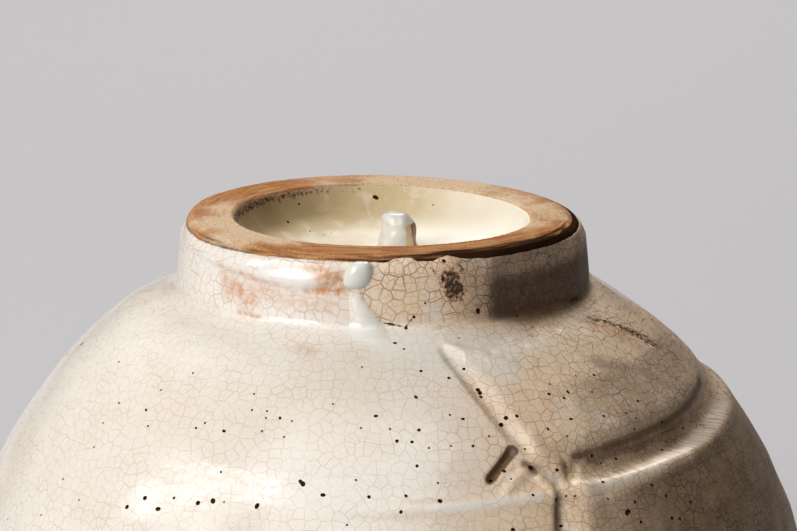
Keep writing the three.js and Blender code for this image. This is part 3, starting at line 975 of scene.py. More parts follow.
def foot_flat(azimuth, height):
    """How far the foot's clay stands out of its round, or behind it."""
    return along(azimuth, FLAT_ROUND) * within(height, FLAT_BEGINS, FLAT_ENDS)


def trimmed_drop(azimuth, height):
    """How much lower the tool went at the base of the foot."""
    return along(azimuth, TRIMMED_ROUND) * within(height, TRIMMED_BEGINS, TRIMMED_ENDS)


def coat_relief(azimuth, height):
    """How much thicker than usual the coat on the foot is."""
    band_low = along(azimuth, THICK_BAND_LOW)
    up_band = (height - band_low) / (GLAZE_LINE - band_low)
    eased = 1 - THICK_BAND_EASED * ramp(up_band, *THICK_BAND_EASES)
    band = THICK_BAND_PROUD * ramp(up_band, *THICK_BAND_SWELLS) * eased
    band *= within(azimuth, THICK_BAND_BEGINS, THICK_BAND_ENDS)
    crease = CREASE_DEPTH * bump(height - along(azimuth, CREASE), CREASE_HALF_WIDTH)
    crease *= within(azimuth, CREASE_BEGINS, CREASE_ENDS)
    thinned = THIN_EDGE * ramp(height, GLAZE_LINE - THIN_EDGE_HEIGHT, GLAZE_LINE)
    return (band - crease) * ramp(height, *COAT_RELIEF_FROM) - thinned


def lift_foot(points):
    """Points of the foot's plain coat, moved up to the wandering glaze line and out by the foot's relief."""
    azimuth, height = azimuth_of(points), points[:, 2]
    out = outward_from_axis(points)
    depth_share = np.clip((radius_of(points) - foot_radius(height, COAT)) / COAT, 0, 1)
    line = BOWL_HEIGHT - along(azimuth, LINE_DROP_ROUND) - GLAZE_LINE
    line += lumps_at(out * FOOT_GLAZE_RADIUS, LINE_CRUMBS)
    moved = height + line * ramp(height, GLAZE_LINE - LINE_REACH, GLAZE_LINE)
    lean = FOOT_TAPER * (np.minimum(moved, GLAZE_LINE) - height) / (GLAZE_LINE - SHOULDER)
    lean += EDGE_LEAN * np.maximum(moved - GLAZE_LINE, 0) / (BOWL_HEIGHT - GLAZE_LINE)
    relief = foot_flat(azimuth, moved) + depth_share * coat_relief(azimuth, height) - lean
    lifted = points + out * relief[:, None]
    lifted[:, 2] = moved
    return lifted


# %% Lifting the plain coat by its relief
GLAZE_LUMPS = ((14, 0.14, 1), (5, 0.07, 2), (1.8, 0.03, 3))
CALM_LEFT, CALM_ROUND = 0.4, (-5, 30)
LEVEL_OUT = (SHOULDER - 1.0, SHOULDER + 2.0)
WALL_RELIEF_ENDS = (SHOULDER - 2.0, SHOULDER + 2.0)
LIP_CALM = (0.5, LIP_BAND)


def lift_wall(points, lumps):
    """Points of the plain turned wall, moved by its relief along the wall's own normal."""
    azimuth, height = azimuth_of(points), points[:, 2]
    facing = points - WALL_CENTRE
    facing[:, 2] *= 1 - ramp(height, *LEVEL_OUT)
    facing /= np.maximum(np.linalg.norm(facing, axis=1), LEAST_LENGTH)[:, None]
    outermost = WALL_CENTRE + facing * BOWL_RADIUS
    relief = turned_relief(azimuth, height) + all_strokes(outermost) * (height < SHOULDER) + lumps
    relief *= 1 - ramp(height, *WALL_RELIEF_ENDS)
    lifted = points + facing * (relief * ramp(height, *LIP_CALM))[:, None]
    lifted[:, 2] -= trimmed_drop(azimuth, height)
    return np.where((height > SHOULDER)[:, None], lifted + lift_foot(points) - points, lifted)


def glaze_lumps(points):
    """Lumps in the thick coat, which is calmer on the left."""
    calm = CALM_LEFT + (1 - CALM_LEFT) * ramp(azimuth_of(points), *CALM_ROUND)
    return calm * lumps_at(points, GLAZE_LUMPS)


plain_points = read_points(glaze_outside)
write_points(glaze_outside, lift_wall(plain_points, glaze_lumps(plain_points)))
print("relief from", (read_points(glaze_outside) - plain_points).min().round(2), "mm")

# %% [markdown]
# ## Pinholes
# Gas bubbled out of the glaze while it was soft and left hundreds of small holes. A Geometry Nodes tree
# scatters small balls over the coat by a seed, adds the holes that can be read from the picture, and cuts
# them all out. A ball has few faces, because it is repeated so often. The holes are real cuts in the mesh.


# %% Helpers for attributes and random values in a tree
def named(tree, name, kind):
    made = add_node(tree, "GeometryNodeInputNamedAttribute", data_type=kind)
    made.inputs["Name"].default_value = name
    return open_socket(made.outputs, "Attribute")


def keep_attribute(tree, geometry, name, kind, domain, value):
    made = add_node(tree, "GeometryNodeStoreNamedAttribute", data_type=kind, domain=domain)
    made.inputs["Name"].default_value = name
    feed(tree, made.inputs["Geometry"], geometry)
    feed(tree, open_socket(made.inputs, "Value"), value)
    return made.outputs[0]


def random_value(tree, kind, low, high, seed):
    made = add_node(tree, "FunctionNodeRandomValue", data_type=kind)
    for name, given in (("Min", low), ("Max", high), ("Seed", seed)):
        feed(tree, open_socket(made.inputs, name), given)
    return open_socket(made.outputs, "Value")


# %% The tree that cuts pinholes
BALL_ROUNDS = 2
FULL_TURN = 6.28
BALL_UNEVEN = (0.8, 0.9, 1.0), (1.0, 1.15, 1.45)
MOSTLY_SMALL = 2.5


def pinhole_tree():
    tree, given, result = new_tree(
        "cut_pinholes", Placed="Object", Density="Float", Apart="Float", Smallest="Float", Largest="Float",
        Seed="Int", Finish="Material", Hole_Finish="Material",
    )
    scatter = add_node(tree, "GeometryNodeDistributePointsOnFaces", distribute_method="POISSON")
    feed(tree, scatter.inputs["Mesh"], given["Geometry"])
    feed(tree, scatter.inputs["Distance Min"], given["Apart"])
    feed(tree, scatter.inputs["Density Max"], given["Density"])
    feed(tree, scatter.inputs["Density Factor"], named(tree, "pinholed", "FLOAT"))
    feed(tree, scatter.inputs["Seed"], given["Seed"])
    sizes = random_value(tree, "FLOAT", 0.0, 1.0, given["Seed"])
    span = math_node(tree, "SUBTRACT", given["Largest"], given["Smallest"])
    sizes = math_node(tree, "POWER", sizes, MOSTLY_SMALL)
    radius = math_node(tree, "MULTIPLY_ADD", sizes, span, given["Smallest"])
    scattered = keep_attribute(tree, scatter.outputs["Points"], "hole_radius", "FLOAT", "POINT", radius)
    placed = add_node(tree, "GeometryNodeObjectInfo")
    feed(tree, placed.inputs["Object"], given["Placed"])
    holes = add_node(tree, "GeometryNodeJoinGeometry")
    feed(tree, holes.inputs[0], placed.outputs["Geometry"])
    feed(tree, holes.inputs[0], scattered)
    ball = add_node(tree, "GeometryNodeMeshIcoSphere")
    ball.inputs["Radius"].default_value = 1.0
    ball.inputs["Subdivisions"].default_value = BALL_ROUNDS
    marked_ball = keep_attribute(tree, ball.outputs["Mesh"], "in_hole", "BOOLEAN", "FACE", True)
    balls = add_node(tree, "GeometryNodeInstanceOnPoints")
    feed(tree, balls.inputs["Points"], holes.outputs[0])
    feed(tree, balls.inputs["Instance"], marked_ball)
    turns = random_value(tree, "FLOAT_VECTOR", (0, 0, 0), (FULL_TURN,) * 3, given["Seed"])
    feed(tree, balls.inputs["Rotation"], turns)
    uneven = random_value(tree, "FLOAT_VECTOR", *BALL_UNEVEN, given["Seed"])
    scale = add_node(tree, "ShaderNodeVectorMath", operation="SCALE")
    feed(tree, scale.inputs["Vector"], uneven)
    feed(tree, scale.inputs["Scale"], named(tree, "hole_radius", "FLOAT"))
    feed(tree, balls.inputs["Scale"], scale.outputs[0])
    cut = add_node(tree, "GeometryNodeMeshBoolean", operation="DIFFERENCE", solver="MANIFOLD")
    feed(tree, cut.inputs["Mesh 1"], given["Geometry"])
    feed(tree, cut.inputs["Mesh 2"], balls.outputs[0])
    in_hole = named(tree, "in_hole", "BOOLEAN")
    end_tree(tree, cut.outputs["Mesh"], result, (given["Finish"], True), (given["Hole Finish"], in_hole))
    return tree


CUT_PINHOLES = pinhole_tree()
print("the pinhole tree has", len(CUT_PINHOLES.nodes), "nodes")

# %% Painting a mask on a piece, and cutting its pinholes
SMALLEST_HOLE, LARGEST_HOLE = 0.13, 0.36
HOLES_APART = 1.6


def paint(piece, name, values):
    """Keeps one value for each point of a piece, which its finish reads by name."""
    layer = piece.data.attributes.get(name) or piece.data.attributes.new(name, "FLOAT", "POINT")
    layer.data.foreach_set("value", np.clip(values, 0, 1).astype(np.float32))


def cut_pinholes(piece, holes, share, finish, density, seed):
    """Cuts the holes listed as x, y and radius, and scatters more where share is above 0.

    The density is the most scattered holes on a square millimetre.
    """
    surface = surface_of(piece)
    found = [(at_pixel(surface, px, py), radius) for px, py, radius in holes]
    placed = new_piece("placed_holes", [hit[0] for hit, _ in found if hit])
    radii = placed.data.attributes.new("hole_radius", "FLOAT", "POINT")
    radii.data.foreach_set("value", [radius * MM for hit, radius in found if hit])
    paint(piece, "pinholed", share)
    run_tree(
        piece, CUT_PINHOLES, Placed=placed, Density=density / MM**2, Apart=HOLES_APART * MM,
        Smallest=SMALLEST_HOLE * MM, Largest=LARGEST_HOLE * MM, Seed=seed, Finish=finish,
        Hole_Finish=pinhole_dark,
    )
    bpy.data.objects.remove(placed)
    point_outward(piece.data)
    print(f"{piece.name}: {len(piece.data.polygons)} faces with its pinholes")


# %% Pinholes read from the picture, by size
BIG, MEDIUM, SMALL = 0.33, 0.24, 0.16
BIG_HOLES = (
    (145, 498), (127, 507), (158, 509), (198, 503), (213, 501), (257, 506), (301, 482), (303, 484),
    (323, 495), (478, 390), (480, 393), (506, 418), (501, 425), (440, 501), (531, 468), (556, 500),
    (513, 530), (627, 513), (629, 511), (478, 311),
)
MEDIUM_HOLES = (
    (174, 498), (369, 497), (406, 496), (401, 512), (417, 466), (412, 442), (397, 441), (419, 430),
    (376, 416), (416, 397), (395, 343), (224, 431), (280, 418), (146, 410), (421, 371), (449, 378),
    (464, 369), (481, 397), (463, 419), (517, 416), (473, 446), (491, 481), (504, 471), (533, 495),
    (561, 526), (557, 470), (548, 429), (549, 394), (568, 392), (564, 398), (571, 419), (594, 375),
    (604, 416), (638, 401), (662, 422), (662, 450), (683, 428), (592, 456), (616, 459), (603, 482),
    (652, 485), (666, 496), (691, 502), (635, 502), (641, 522), (672, 518), (680, 519), (414, 317),
    (406, 328), (517, 316), (444, 261),
)
SMALL_HOLES = (
    (224, 502), (347, 525), (356, 480), (390, 429), (361, 428), (404, 349), (362, 367), (333, 404),
    (205, 423), (196, 428), (252, 410), (254, 394), (267, 411), (266, 418), (292, 421), (262, 431),
    (284, 437), (221, 472), (161, 390), (193, 373), (119, 403), (119, 362), (148, 426), (103, 423),
    (94, 447), (79, 500), (41, 515), (63, 479), (450, 415), (489, 436), (451, 446), (429, 448), (438, 483),
    (511, 479), (525, 449), (566, 496), (575, 496), (566, 467), (550, 384), (567, 436), (576, 376),
    (592, 392), (626, 413), (636, 418), (634, 429), (601, 463), (703, 509), (716, 482), (748, 433),
    (755, 507), (608, 499), (425, 303), (459, 338),
)
HOLES_BY_SIZE = ((BIG, BIG_HOLES), (MEDIUM, MEDIUM_HOLES), (SMALL, SMALL_HOLES))
holes = [(px, py, size) for size, group in HOLES_BY_SIZE for px, py in group]

# %% Cutting them, with scattered ones where the picture doesn't look
PICTURE_AZIMUTH, PICTURE_LOW = 78, 47
HOLES_FROM = (6, 8)

lifted = read_points(glaze_outside)
height = lifted[:, 2]
seen_in_picture = (np.abs(azimuth_of(lifted)) < PICTURE_AZIMUTH) & (height > PICTURE_LOW)
outer_side = np.linalg.norm(plain_points - WALL_CENTRE, axis=1) > BOWL_RADIUS - COAT / 2
share = np.where(seen_in_picture | (height > SHOULDER) | ~outer_side, 0.0, 1.0)
cut_pinholes(glaze_outside, holes, share * ramp(height, *HOLES_FROM), cream_glaze, density=0.012, seed=4)

# %% [markdown]
# ## What the fire did to the coat, and painted light and shade
# The coat's masks are painted on its points after the cut, because a cut makes new points. A mark is a line
# of pixels of the picture with a reach in millimetres and a strength. Where the glaze is thin the iron
# below blushes it, and its crackle is stained most at the front of the foot and on the right. Other marks
# paint shade into the gouge, the groove and the foot's right and base, and highlights onto the ring's ridge.

# %% Marks on the outside coat: pixels, reach in millimetres, strength
BLUSHES = (
    (((219, 265), (240, 273), (278, 284)), 0.9, 0.75), (((226, 276), (228, 292)), 2.2, 0.6),
    (((236, 288), (250, 298)), 2.6, 0.75), (((262, 290), (290, 300)), 2.4, 0.4),
    (((308, 290), (338, 291)), 1.1, 1.0), (((316, 272), (342, 284)), 2.6, 0.9),
    (((288, 296), (330, 306)), 2.2, 0.4), (((238, 311), (258, 317)), 0.6, 0.7),
    (((584, 321), (598, 324), (622, 334)), 1.5, 0.7), (((592, 328), (640, 347)), 1.6, 0.5),
    (((448, 274), (457, 292)), 2.6, 0.3), (((300, 348), (312, 352)), 1.5, 0.3),
    (((548, 452), (560, 470)), 3.0, 0.2),
)
IRON_SPOTS = (
    (((450, 279), (456, 291)), 3.0, 0.6), (((384, 323), (396, 325), (405, 328), (414, 316)), 0.32, 0.62),
    (((432, 269), (434, 271)), 0.8, 0.5), (((458, 265), (462, 268)), 0.8, 0.45),
    (((590, 318), (634, 334), (656, 346)), 1.9, 0.5), (((628, 329), (662, 345), (676, 356)), 1.5, 0.45),
    (((578, 297), (571, 301)), 0.8, 0.75), (((584, 248), (585, 272)), 0.8, 0.5),
)
# Milky glaze on the run and in whitish blotches, and painted highlight along the ring's ridge at the front
# and on the right.
MILK_AND_HIGHLIGHT_MARKS = (
    (((352, 332), (386, 346)), 2.6, 0.75), (((352, 300), (356, 318)), 1.4, 0.75),
    (((432, 310), (437, 315)), 1.3, 0.5), (((265, 272), (305, 280)), 2.6, 0.75),
    (((200, 262), (240, 266)), 1.8, 0.5), (((456, 352), (500, 362)), 6.0, 0.4),
    (((395, 345), (440, 360)), 6.0, 0.32), (((470, 336), (520, 338)), 3.5, 0.3),
    (((572, 412), (604, 420)), 4.0, 0.12), (((430, 508), (480, 505), (540, 497)), 1.2, 0.6),
    (((600, 487), (652, 468), (690, 446)), 1.6, 0.35),
)
# Thin glaze along the long stroke and in small patches, and painted shade in the gouge, along the groove's
# dark band and at the foot's base, with a painted shadow on the shoulder under the foot's right.
THIN_AND_SHADE_MARKS = (
    (((600, 364), (645, 372), (674, 388)), 5.5, 0.77), (((443, 352), (462, 376)), 1.0, 0.3),
    (((470, 386), (488, 411)), 2.1, 0.6), (((494, 422), (506, 438)), 1.8, 0.5),
    (((512, 451), (507, 458), (501, 466), (495, 473), (490, 480)), 1.5, 1.9),
    (((556, 500), (557, 530)), 2.3, 0.9), (((525, 464), (534, 471)), 1.8, 0.92),
    (((564, 464), (572, 486)), 1.8, 0.84), (((580, 453), (596, 462)), 2.6, 0.84),
    (((574, 457), (606, 447)), 2.0, 0.9), (((512, 311), (530, 313), (554, 309)), 1.8, 1.1),
    (((604, 448), (626, 441), (665, 423), (690, 402), (700, 380)), 2.6, 0.95),
    (((590, 460), (640, 446), (684, 419)), 2.6, 0.88), (((476, 306), (500, 309)), 1.8, 0.8),
)
# Lighter paint on the ring's ridge on the right and near the down stroke: painted light where they face the
# lamps.
PAINTED_LIGHT_MARKS = ((((594, 490), (640, 473), (684, 451)), 2.2, 0.4), (((552, 478), (580, 486)), 2.0, 0.25))


# %% Painting the coat
def marked(points, surface, marks):
    """The strongest mark at each point, fading with the distance from the mark's line."""
    total = np.zeros(len(points))
    for pixels, reach, strength in marks:
        places = [at_pixel(surface, px, py)[0] for px, py in pixels]
        for start, end in zip(places, places[1:]):
            distance = np.linalg.norm(off_line(points, start, end)[1], axis=1)
            total = np.maximum(total, strength * bump(distance, reach))
    return total


# Brown of thin glaze up the right side, with painted shade on its lower part and at the foot's base.
THIN_AND_SHADE_BY_HEIGHT = (
    (0, 0.62), (25, 0.74), (42, 0.86), (52, 0.87), (56, 0.76), (59, 0.71), (64, 0.75), (66.5, 0.45),
    (69, 0.33), (71, 0.92),
)


# Steps of a rise round the bowl: how much, and the azimuths where it begins and ends
WALL_STAIN = ((0.5, -5, 50), (0.35, 35, 65))
FOOT_STAIN = ((0.45, -14, 2), (0.3, 20, 32))
FOOT_THIN = ((0.38, -16, -2), (0.34, 12, 27))
# Painted shade on the flat of the foot, lighter near its top, over the brown of thin glaze.
FACET_SHADE_AND_THIN = ((0.31, 27, 34.5),)
LEAST_WALL_STAIN, LEAST_FOOT_STAIN = 0.04, 0.25
FACET_TOP, FACET_TOP_LIGHTER = (GLAZE_LINE - 3.8, GLAZE_LINE - 0.4), 0.9
WALL_THIN_FROM, WALL_THIN_LATER, WALL_THIN_TO = -12, 10, 50
WALL_THIN_HEIGHTS = (48, 54)
FADE_BEHIND = {"stain": (120, 175), "thin_and_shade": (75, 175)}


def rising(azimuth, steps):
    return sum(rise * ramp(azimuth, start, end) for rise, start, end in steps)


def over_shoulder(height, wall, foot):
    """Goes from the wall's value to the foot's across the pooled glaze."""
    share = ramp(height, SHOULDER, SHOULDER + 1.5)
    return wall * (1 - share) + foot * share


def crackle_stain(azimuth, height):
    past_right = 1 - ramp(azimuth, *FADE_BEHIND["stain"])
    wall = LEAST_WALL_STAIN + rising(azimuth, WALL_STAIN) * past_right
    foot = LEAST_FOOT_STAIN + rising(azimuth, FOOT_STAIN)
    return over_shoulder(height, wall, foot * past_right)


def thin_and_shade_share(azimuth, height):
    """Brown of thin glaze on the right and the foot's front, and painted shade low on the right and on the
    foot's flat.
    """
    past_right = 1 - ramp(azimuth, *FADE_BEHIND["thin_and_shade"])
    foot = rising(azimuth, FOOT_THIN)
    foot += rising(azimuth, FACET_SHADE_AND_THIN) * (1 - FACET_TOP_LIGHTER * ramp(height, *FACET_TOP))
    wall_from = WALL_THIN_FROM + WALL_THIN_LATER * ramp(height, *WALL_THIN_HEIGHTS)
    wall = along(height, THIN_AND_SHADE_BY_HEIGHT) * ramp(azimuth, wall_from, WALL_THIN_TO)
    return over_shoulder(height, wall, foot) * past_right


def paint_coat(piece):
    points = read_points(piece)
    azimuth = azimuth_of(points)
    height = points[:, 2] + along(azimuth, TRIMMED_ROUND)
    for mask, marks in (("blush", BLUSHES), ("iron", IRON_SPOTS), ("milk_and_highlight", MILK_AND_HIGHLIGHT_MARKS)):
        paint(piece, mask, marked(points, coat_surface, marks))
    paint(piece, "stain", crackle_stain(azimuth, height))
    thin_and_shade = np.maximum(thin_and_shade_share(azimuth, height), marked(points, coat_surface, THIN_AND_SHADE_MARKS))
    paint(piece, "thin_and_shade", thin_and_shade - marked(points, coat_surface, PAINTED_LIGHT_MARKS))


coat_surface = surface_of(glaze_outside)
paint_coat(glaze_outside)
print("painted", len(glaze_outside.data.attributes), "layers on the coat")

# %% [markdown]
# ## The clay wall, the lip and the inside
# The clay under the coats is one turned shape, with the same relief as the coat on it, so that it never
# comes through. The lip's coat carries on from the outside's and fades its relief out, because the lip
# stands flat on the floor. The inside can't be seen in the picture: it is the plain hollow that a thrown
# bowl of this shape has.

# %% Profiles of the lip and the inside
LIP_OUTER = wall_arc(LIP_ROUND, LIP_BAND, 0, WALL_ROW)[0][0]
LIP_INNER = LIP_OUTER - LIP_THICKNESS
LIP_CLEAR, LIP_ROW = 0.2, 0.8
INSIDE_RISE = INSIDE_CLAY_TOP - COAT - WIDEST_HEIGHT


def inside_profile(depth, step):
    """The inside from the lip band up to the axis, at a depth into the clay."""
    share = (LIP_BAND - LIP_ROUND) / (WIDEST_HEIGHT - LIP_ROUND)
    low = (LIP_INNER + (INSIDE_RADIUS - LIP_INNER) * share + depth, LIP_BAND)
    count = math.ceil(INSIDE_RADIUS * math.pi / 2 / step)
    angles = np.linspace(0, math.pi / 2, count + 1)
    across, rise = INSIDE_RADIUS + depth, INSIDE_RISE + depth
    dome = [(across * math.cos(a), WIDEST_HEIGHT + rise * math.sin(a)) for a in angles]
    dome[-1] = (0.0, dome[-1][1])
    return joined(straight(low, dome[0], step), dome)


def lip_profile(depth):
    """Round the lip from the outside's band to the inside's, at a depth under the glaze."""
    reach = LIP_ROUND - depth
    outer_middle, inner_middle = LIP_OUTER - LIP_ROUND, LIP_INNER + LIP_ROUND
    quarter = np.linspace(0, math.pi / 2, 7)
    outer_turn = [(outer_middle + reach * math.cos(a), LIP_ROUND - reach * math.sin(a)) for a in quarter]
    inner_turn = [(inner_middle - reach * math.sin(a), LIP_ROUND - reach * math.cos(a)) for a in quarter]
    return joined(
        wall_arc(LIP_BAND, LIP_ROUND + LIP_CLEAR, depth, LIP_ROW), outer_turn, inner_turn,
        straight(inner_turn[-1], inside_profile(depth, WALL_ROW)[0], LIP_ROW),
    )


# %% The clay wall
CORNER = 2.6
PAD_RADIUS = WELL_FLOOR_RADIUS - 0.3
CLAY_ROW, FINE_CLAY_ROW = 2.5, 0.9
CLAY_SUNK = 0.12

clay_profile = joined(
    [(0.0, PAD_HEIGHT), (PAD_RADIUS, PAD_HEIGHT), (PAD_RADIUS, FOOT_SEAT)],
    [(FOOT_CLAY_RADIUS - CORNER, FOOT_SEAT)],
    wall_arc(FOOT_SEAT - CORNER / 2, MARKED_FROM, COAT, FINE_CLAY_ROW),
    wall_arc(MARKED_FROM, LIP_BAND, COAT, CLAY_ROW),
    lip_profile(COAT), inside_profile(COAT, CLAY_ROW),
)
clay_wall = turned_piece("clay_wall", clay_profile, stoneware)


def lift_outside(piece, sunk=0.0):
    """Gives a turned piece the wall's relief on its outer side only."""
    points = read_points(piece)
    height = points[:, 2]
    lip_middle = np.where(height < WIDEST_HEIGHT, LIP_OUTER - LIP_THICKNESS / 2, 0)
    outside = (radius_of(points) > lip_middle) & (height < FOOT_SEAT - SLIP)
    outside &= np.linalg.norm(points - WALL_CENTRE, axis=1) > BOWL_RADIUS - 2 * COAT
    moved = lift_wall(points, glaze_lumps(points) - sunk)
    write_points(piece, np.where(outside[:, None], moved, points))


lift_outside(clay_wall, sunk=CLAY_SUNK)

# %% The lip's coat
lip_rows = joined(lip_profile(0), lip_profile(COAT - SLIP)[::-1], lip_profile(0)[:1])
glaze_lip = turned_piece("glaze_lip", lip_rows, cream_glaze)
lift_outside(glaze_lip)
paint_coat(glaze_lip)

# %% The inside's coat, with its ridges and pinholes
INSIDE_PITCH, INSIDE_RIDGE = 8.5, 0.12
INSIDE_LUMPS = ((12, 0.1, 5),)
INSIDE_CALM = LIP_BAND + 4
INSIDE_HOLES_FROM = (8, 12)
INSIDE_STAIN = 0.35
NEAR_HOLLOW = 1.005

inside_rows = inside_profile(COAT - SLIP, 4.0)[::-1] + inside_profile(0, 1.0)
glaze_inside = turned_piece("glaze_inside", inside_rows, cream_glaze, even_steps(256))
points = read_points(glaze_inside)
height = points[:, 2]
turns = np.sin(2 * np.pi * (height / INSIDE_PITCH - azimuth_of(points) / 360))
ridges = INSIDE_RIDGE * turns + lumps_at(points, INSIDE_LUMPS) + INSIDE_RIDGE
ridges *= ramp(height, LIP_BAND, INSIDE_CALM)
inward = -points / np.maximum(np.linalg.norm(points, axis=1), 1)[:, None]
write_points(glaze_inside, points + inward * ridges[:, None])
hollow = (INSIDE_RADIUS, INSIDE_RADIUS, INSIDE_RISE)
in_hollow = np.linalg.norm((points - WALL_CENTRE) / hollow, axis=1) < NEAR_HOLLOW
share = in_hollow * ramp(height, *INSIDE_HOLES_FROM)
cut_pinholes(glaze_inside, [], share, cream_glaze, density=0.006, seed=9)
paint(glaze_inside, "stain", np.full(len(glaze_inside.data.vertices), INSIDE_STAIN))

# %% [markdown]
# ## The foot
# The foot was trimmed out of the clay and its face left bare, so that it wouldn't stick in the kiln. The
# face has a fine grid of its own for the grit and the tool's streaks. Its outer edge is worn round, most of
# all at its two sides.

# %% How the foot was worn, warped and toasted round its edge
EDGE_WEAR_ROUND = (
    (-180, 0.1), (-110, 0.12), (-70, 0.4), (-30, 0.3), (0, 0.12), (60, 0.15), (85, 0.5), (110, 0.4),
    (180, 0.1),
)
FACE_RISE_ROUND = (
    (-180, 0.32), (-150, 0.5), (-120, 0.5), (-95, 0.42), (-65, 0.35), (0, 0.37), (20, 0.33), (40, 0.22),
    (60, 0.1), (80, 0.0), (120, 0.0), (180, 0.32),
)
ASH_ROUND = (
    (-180, 0.72), (-150, 0.4), (-125, 0.15), (-100, 0.45), (-75, 0.65), (-45, 0.75), (-25, 0.35),
    (-8, -0.2), (25, -0.25), (45, 0.1), (75, 0.5), (110, 0.6), (150, 0.75), (180, 0.72),
)
TOAST_AND_SHADE_ROUND = ((-180, 0.4), (-90, 0.38), (-30, 0.42), (-8, 0.5), (5, 0.85), (80, 1.0), (110, 0.7), (180, 0.4))
SCORCH_ROUND = (
    (-180, 0.2), (-60, 0.2), (-10, 0.3), (8, 0.45), (20, 0.7), (45, 0.72), (75, 0.5), (110, 0.3), (180, 0.2),
)

FOOT_GRIT = ((7, 0.06, 6), (1.5, 0.035, 7), (0.55, 0.03, 8))
FOOT_INSET = 0.5
FACE_SUNK = 0.03
WEAR_WIDTH = 1.6
WARP_HEIGHT = 5
SCORCH_WIDTH = 5.0
ASH_INWARD, ASH_BLEND = 0.15, 2.5
ON_FACE = (BOWL_HEIGHT - 0.6, BOWL_HEIGHT - 0.05)
UNDER_FACE = (0.02, 0.2)
FOOT_ROW, EDGE_ROW, FACE_ROW, WELL_WALL_ROW = 0.45, 0.25, 0.28, 0.8

# %% The foot's clay
foot_base = (FOOT_CLAY_RADIUS - FOOT_INSET, FOOT_SEAT + CORNER)
foot_edge = (FOOT_EDGE_RADIUS, GLAZE_LINE)
face_edge, face_end = (FACE_OUTER, BOWL_HEIGHT), (FACE_INNER, BOWL_HEIGHT)
well_edge = (FACE_INNER - INNER_BEVEL, BOWL_HEIGHT - INNER_BEVEL)
foot_profile = joined(
    [(WELL_FLOOR_RADIUS, FOOT_SEAT), (FOOT_CLAY_RADIUS - CORNER, FOOT_SEAT), foot_base],
    straight(foot_base, foot_edge, FOOT_ROW),
    straight(foot_edge, face_edge, EDGE_ROW),
    straight(face_edge, face_end, FACE_ROW),
    bend(face_end, (FACE_INNER - INNER_BEVEL / 2, BOWL_HEIGHT), well_edge, 4),
    straight(well_edge, (WELL_FLOOR_RADIUS, PAD_HEIGHT), WELL_WALL_ROW), [(WELL_FLOOR_RADIUS, FOOT_SEAT)],
)
foot_clay = turned_piece("foot_clay", foot_profile, stoneware, even_steps(600))


def face_rise(azimuth, height):
    """How much the standing face warped upward in the fire."""
    return along(azimuth, FACE_RISE_ROUND) * ramp(height, BOWL_HEIGHT - WARP_HEIGHT, BOWL_HEIGHT)


points = read_points(foot_clay)
azimuth, radius = azimuth_of(points), radius_of(points)
on_face = ramp(points[:, 2], *ON_FACE)
wear = along(azimuth, EDGE_WEAR_ROUND) * ramp(radius, FACE_OUTER - WEAR_WIDTH, FACE_OUTER + 0.1) ** 2
grit = lumps_at(points, FOOT_GRIT)
flat = foot_flat(azimuth, np.maximum(points[:, 2], FLAT_BEGINS[1])) * (radius > FACE_OUTER - 0.1)
points[:, :2] *= (1 + flat / radius)[:, None]
points[:, 2] += on_face * (grit - wear - FACE_SUNK) + face_rise(azimuth, points[:, 2])
write_points(foot_clay, points)

below_face = ramp(BOWL_HEIGHT - points[:, 2], *UNDER_FACE) * (radius > FACE_OUTER - 0.4)
scorched = ramp(radius, FACE_OUTER - SCORCH_WIDTH, FACE_OUTER - 0.05) * along(azimuth, SCORCH_ROUND)
# Scorch on the face, and near black on the edge below it: scorched clay and painted shade.
paint(foot_clay, "toast_and_shade", np.maximum(along(azimuth, TOAST_AND_SHADE_ROUND) * below_face, scorched))
inner_half = ramp(FACE_INNER + FACE_WIDTH / 2 - radius, -ASH_BLEND, ASH_BLEND)
paint(foot_clay, "ash", along(azimuth, ASH_ROUND) + ASH_INWARD * (inner_half - 0.5))

# %% [markdown]
# ## The well and its boss
# Inside the foot the glaze lies smooth and a little green. The trimming tool left a small boss there as it
# came to the middle. Glaze caught on the boss and whitened it, except on its right, where the clay is bare.

# %% The well's coat
WELL_HOLES = (
    (375, 197, 0.34), (376.5, 198, 0.3), (299, 204, 0.16), (288, 222, 0.2), (324, 235, 0.16),
    (310, 231, 0.14), (331, 233, 0.12), (433, 205, 0.12),
)
WELL_RIPPLE, WELL_PITCH = 0.03, 3.2
WELL_LUMPS = ((6, 0.08, 10),)
WELL_RAISED = 0.02
FROM_LEFT = -110
WELL_IRON, WELL_IRON_REACH = 0.52, 95
WELL_THIN_AND_SHADE, WELL_THIN_AND_SHADE_REACH = 0.9, 140
WELL_RIM = (BOWL_HEIGHT - 1.5, BOWL_HEIGHT - 0.6)

well_floor = PAD_HEIGHT + WELL_COAT
wall_top = (well_edge[0] - 0.25, well_edge[1] - 0.05)
wall_foot = (WELL_FLOOR_RADIUS - WELL_COAT, well_floor)
lean = Vector((wall_top[0] - wall_foot[0], wall_top[1] - wall_foot[1])).normalized() * WELL_SWEEP[1]
sweep_start = (wall_foot[0] - WELL_SWEEP[0], well_floor)
sweep_end = (wall_foot[0] + lean.x, wall_foot[1] + lean.y)
well_profile = joined(
    straight((0.0, well_floor), sweep_start, 0.7), bend(sweep_start, wall_foot, sweep_end, 9),
    straight(sweep_end, wall_top, 0.35),
    bend(wall_top, (well_edge[0] - 0.1, well_edge[1] + 0.15), (well_edge[0] + 0.08, well_edge[1] + 0.05), 3),
    straight((well_edge[0] + 0.05, well_edge[1] - 0.1), (WELL_FLOOR_RADIUS - SLIP, PAD_HEIGHT + SLIP), 2.0),
    [(0.0, PAD_HEIGHT + SLIP)],
)
glaze_well = turned_piece("glaze_well", well_profile, well_cream, even_steps(300))
points = read_points(glaze_well)
azimuth, radius = azimuth_of(points), radius_of(points)
turns = np.sin(2 * np.pi * (radius / WELL_PITCH - azimuth / 360))
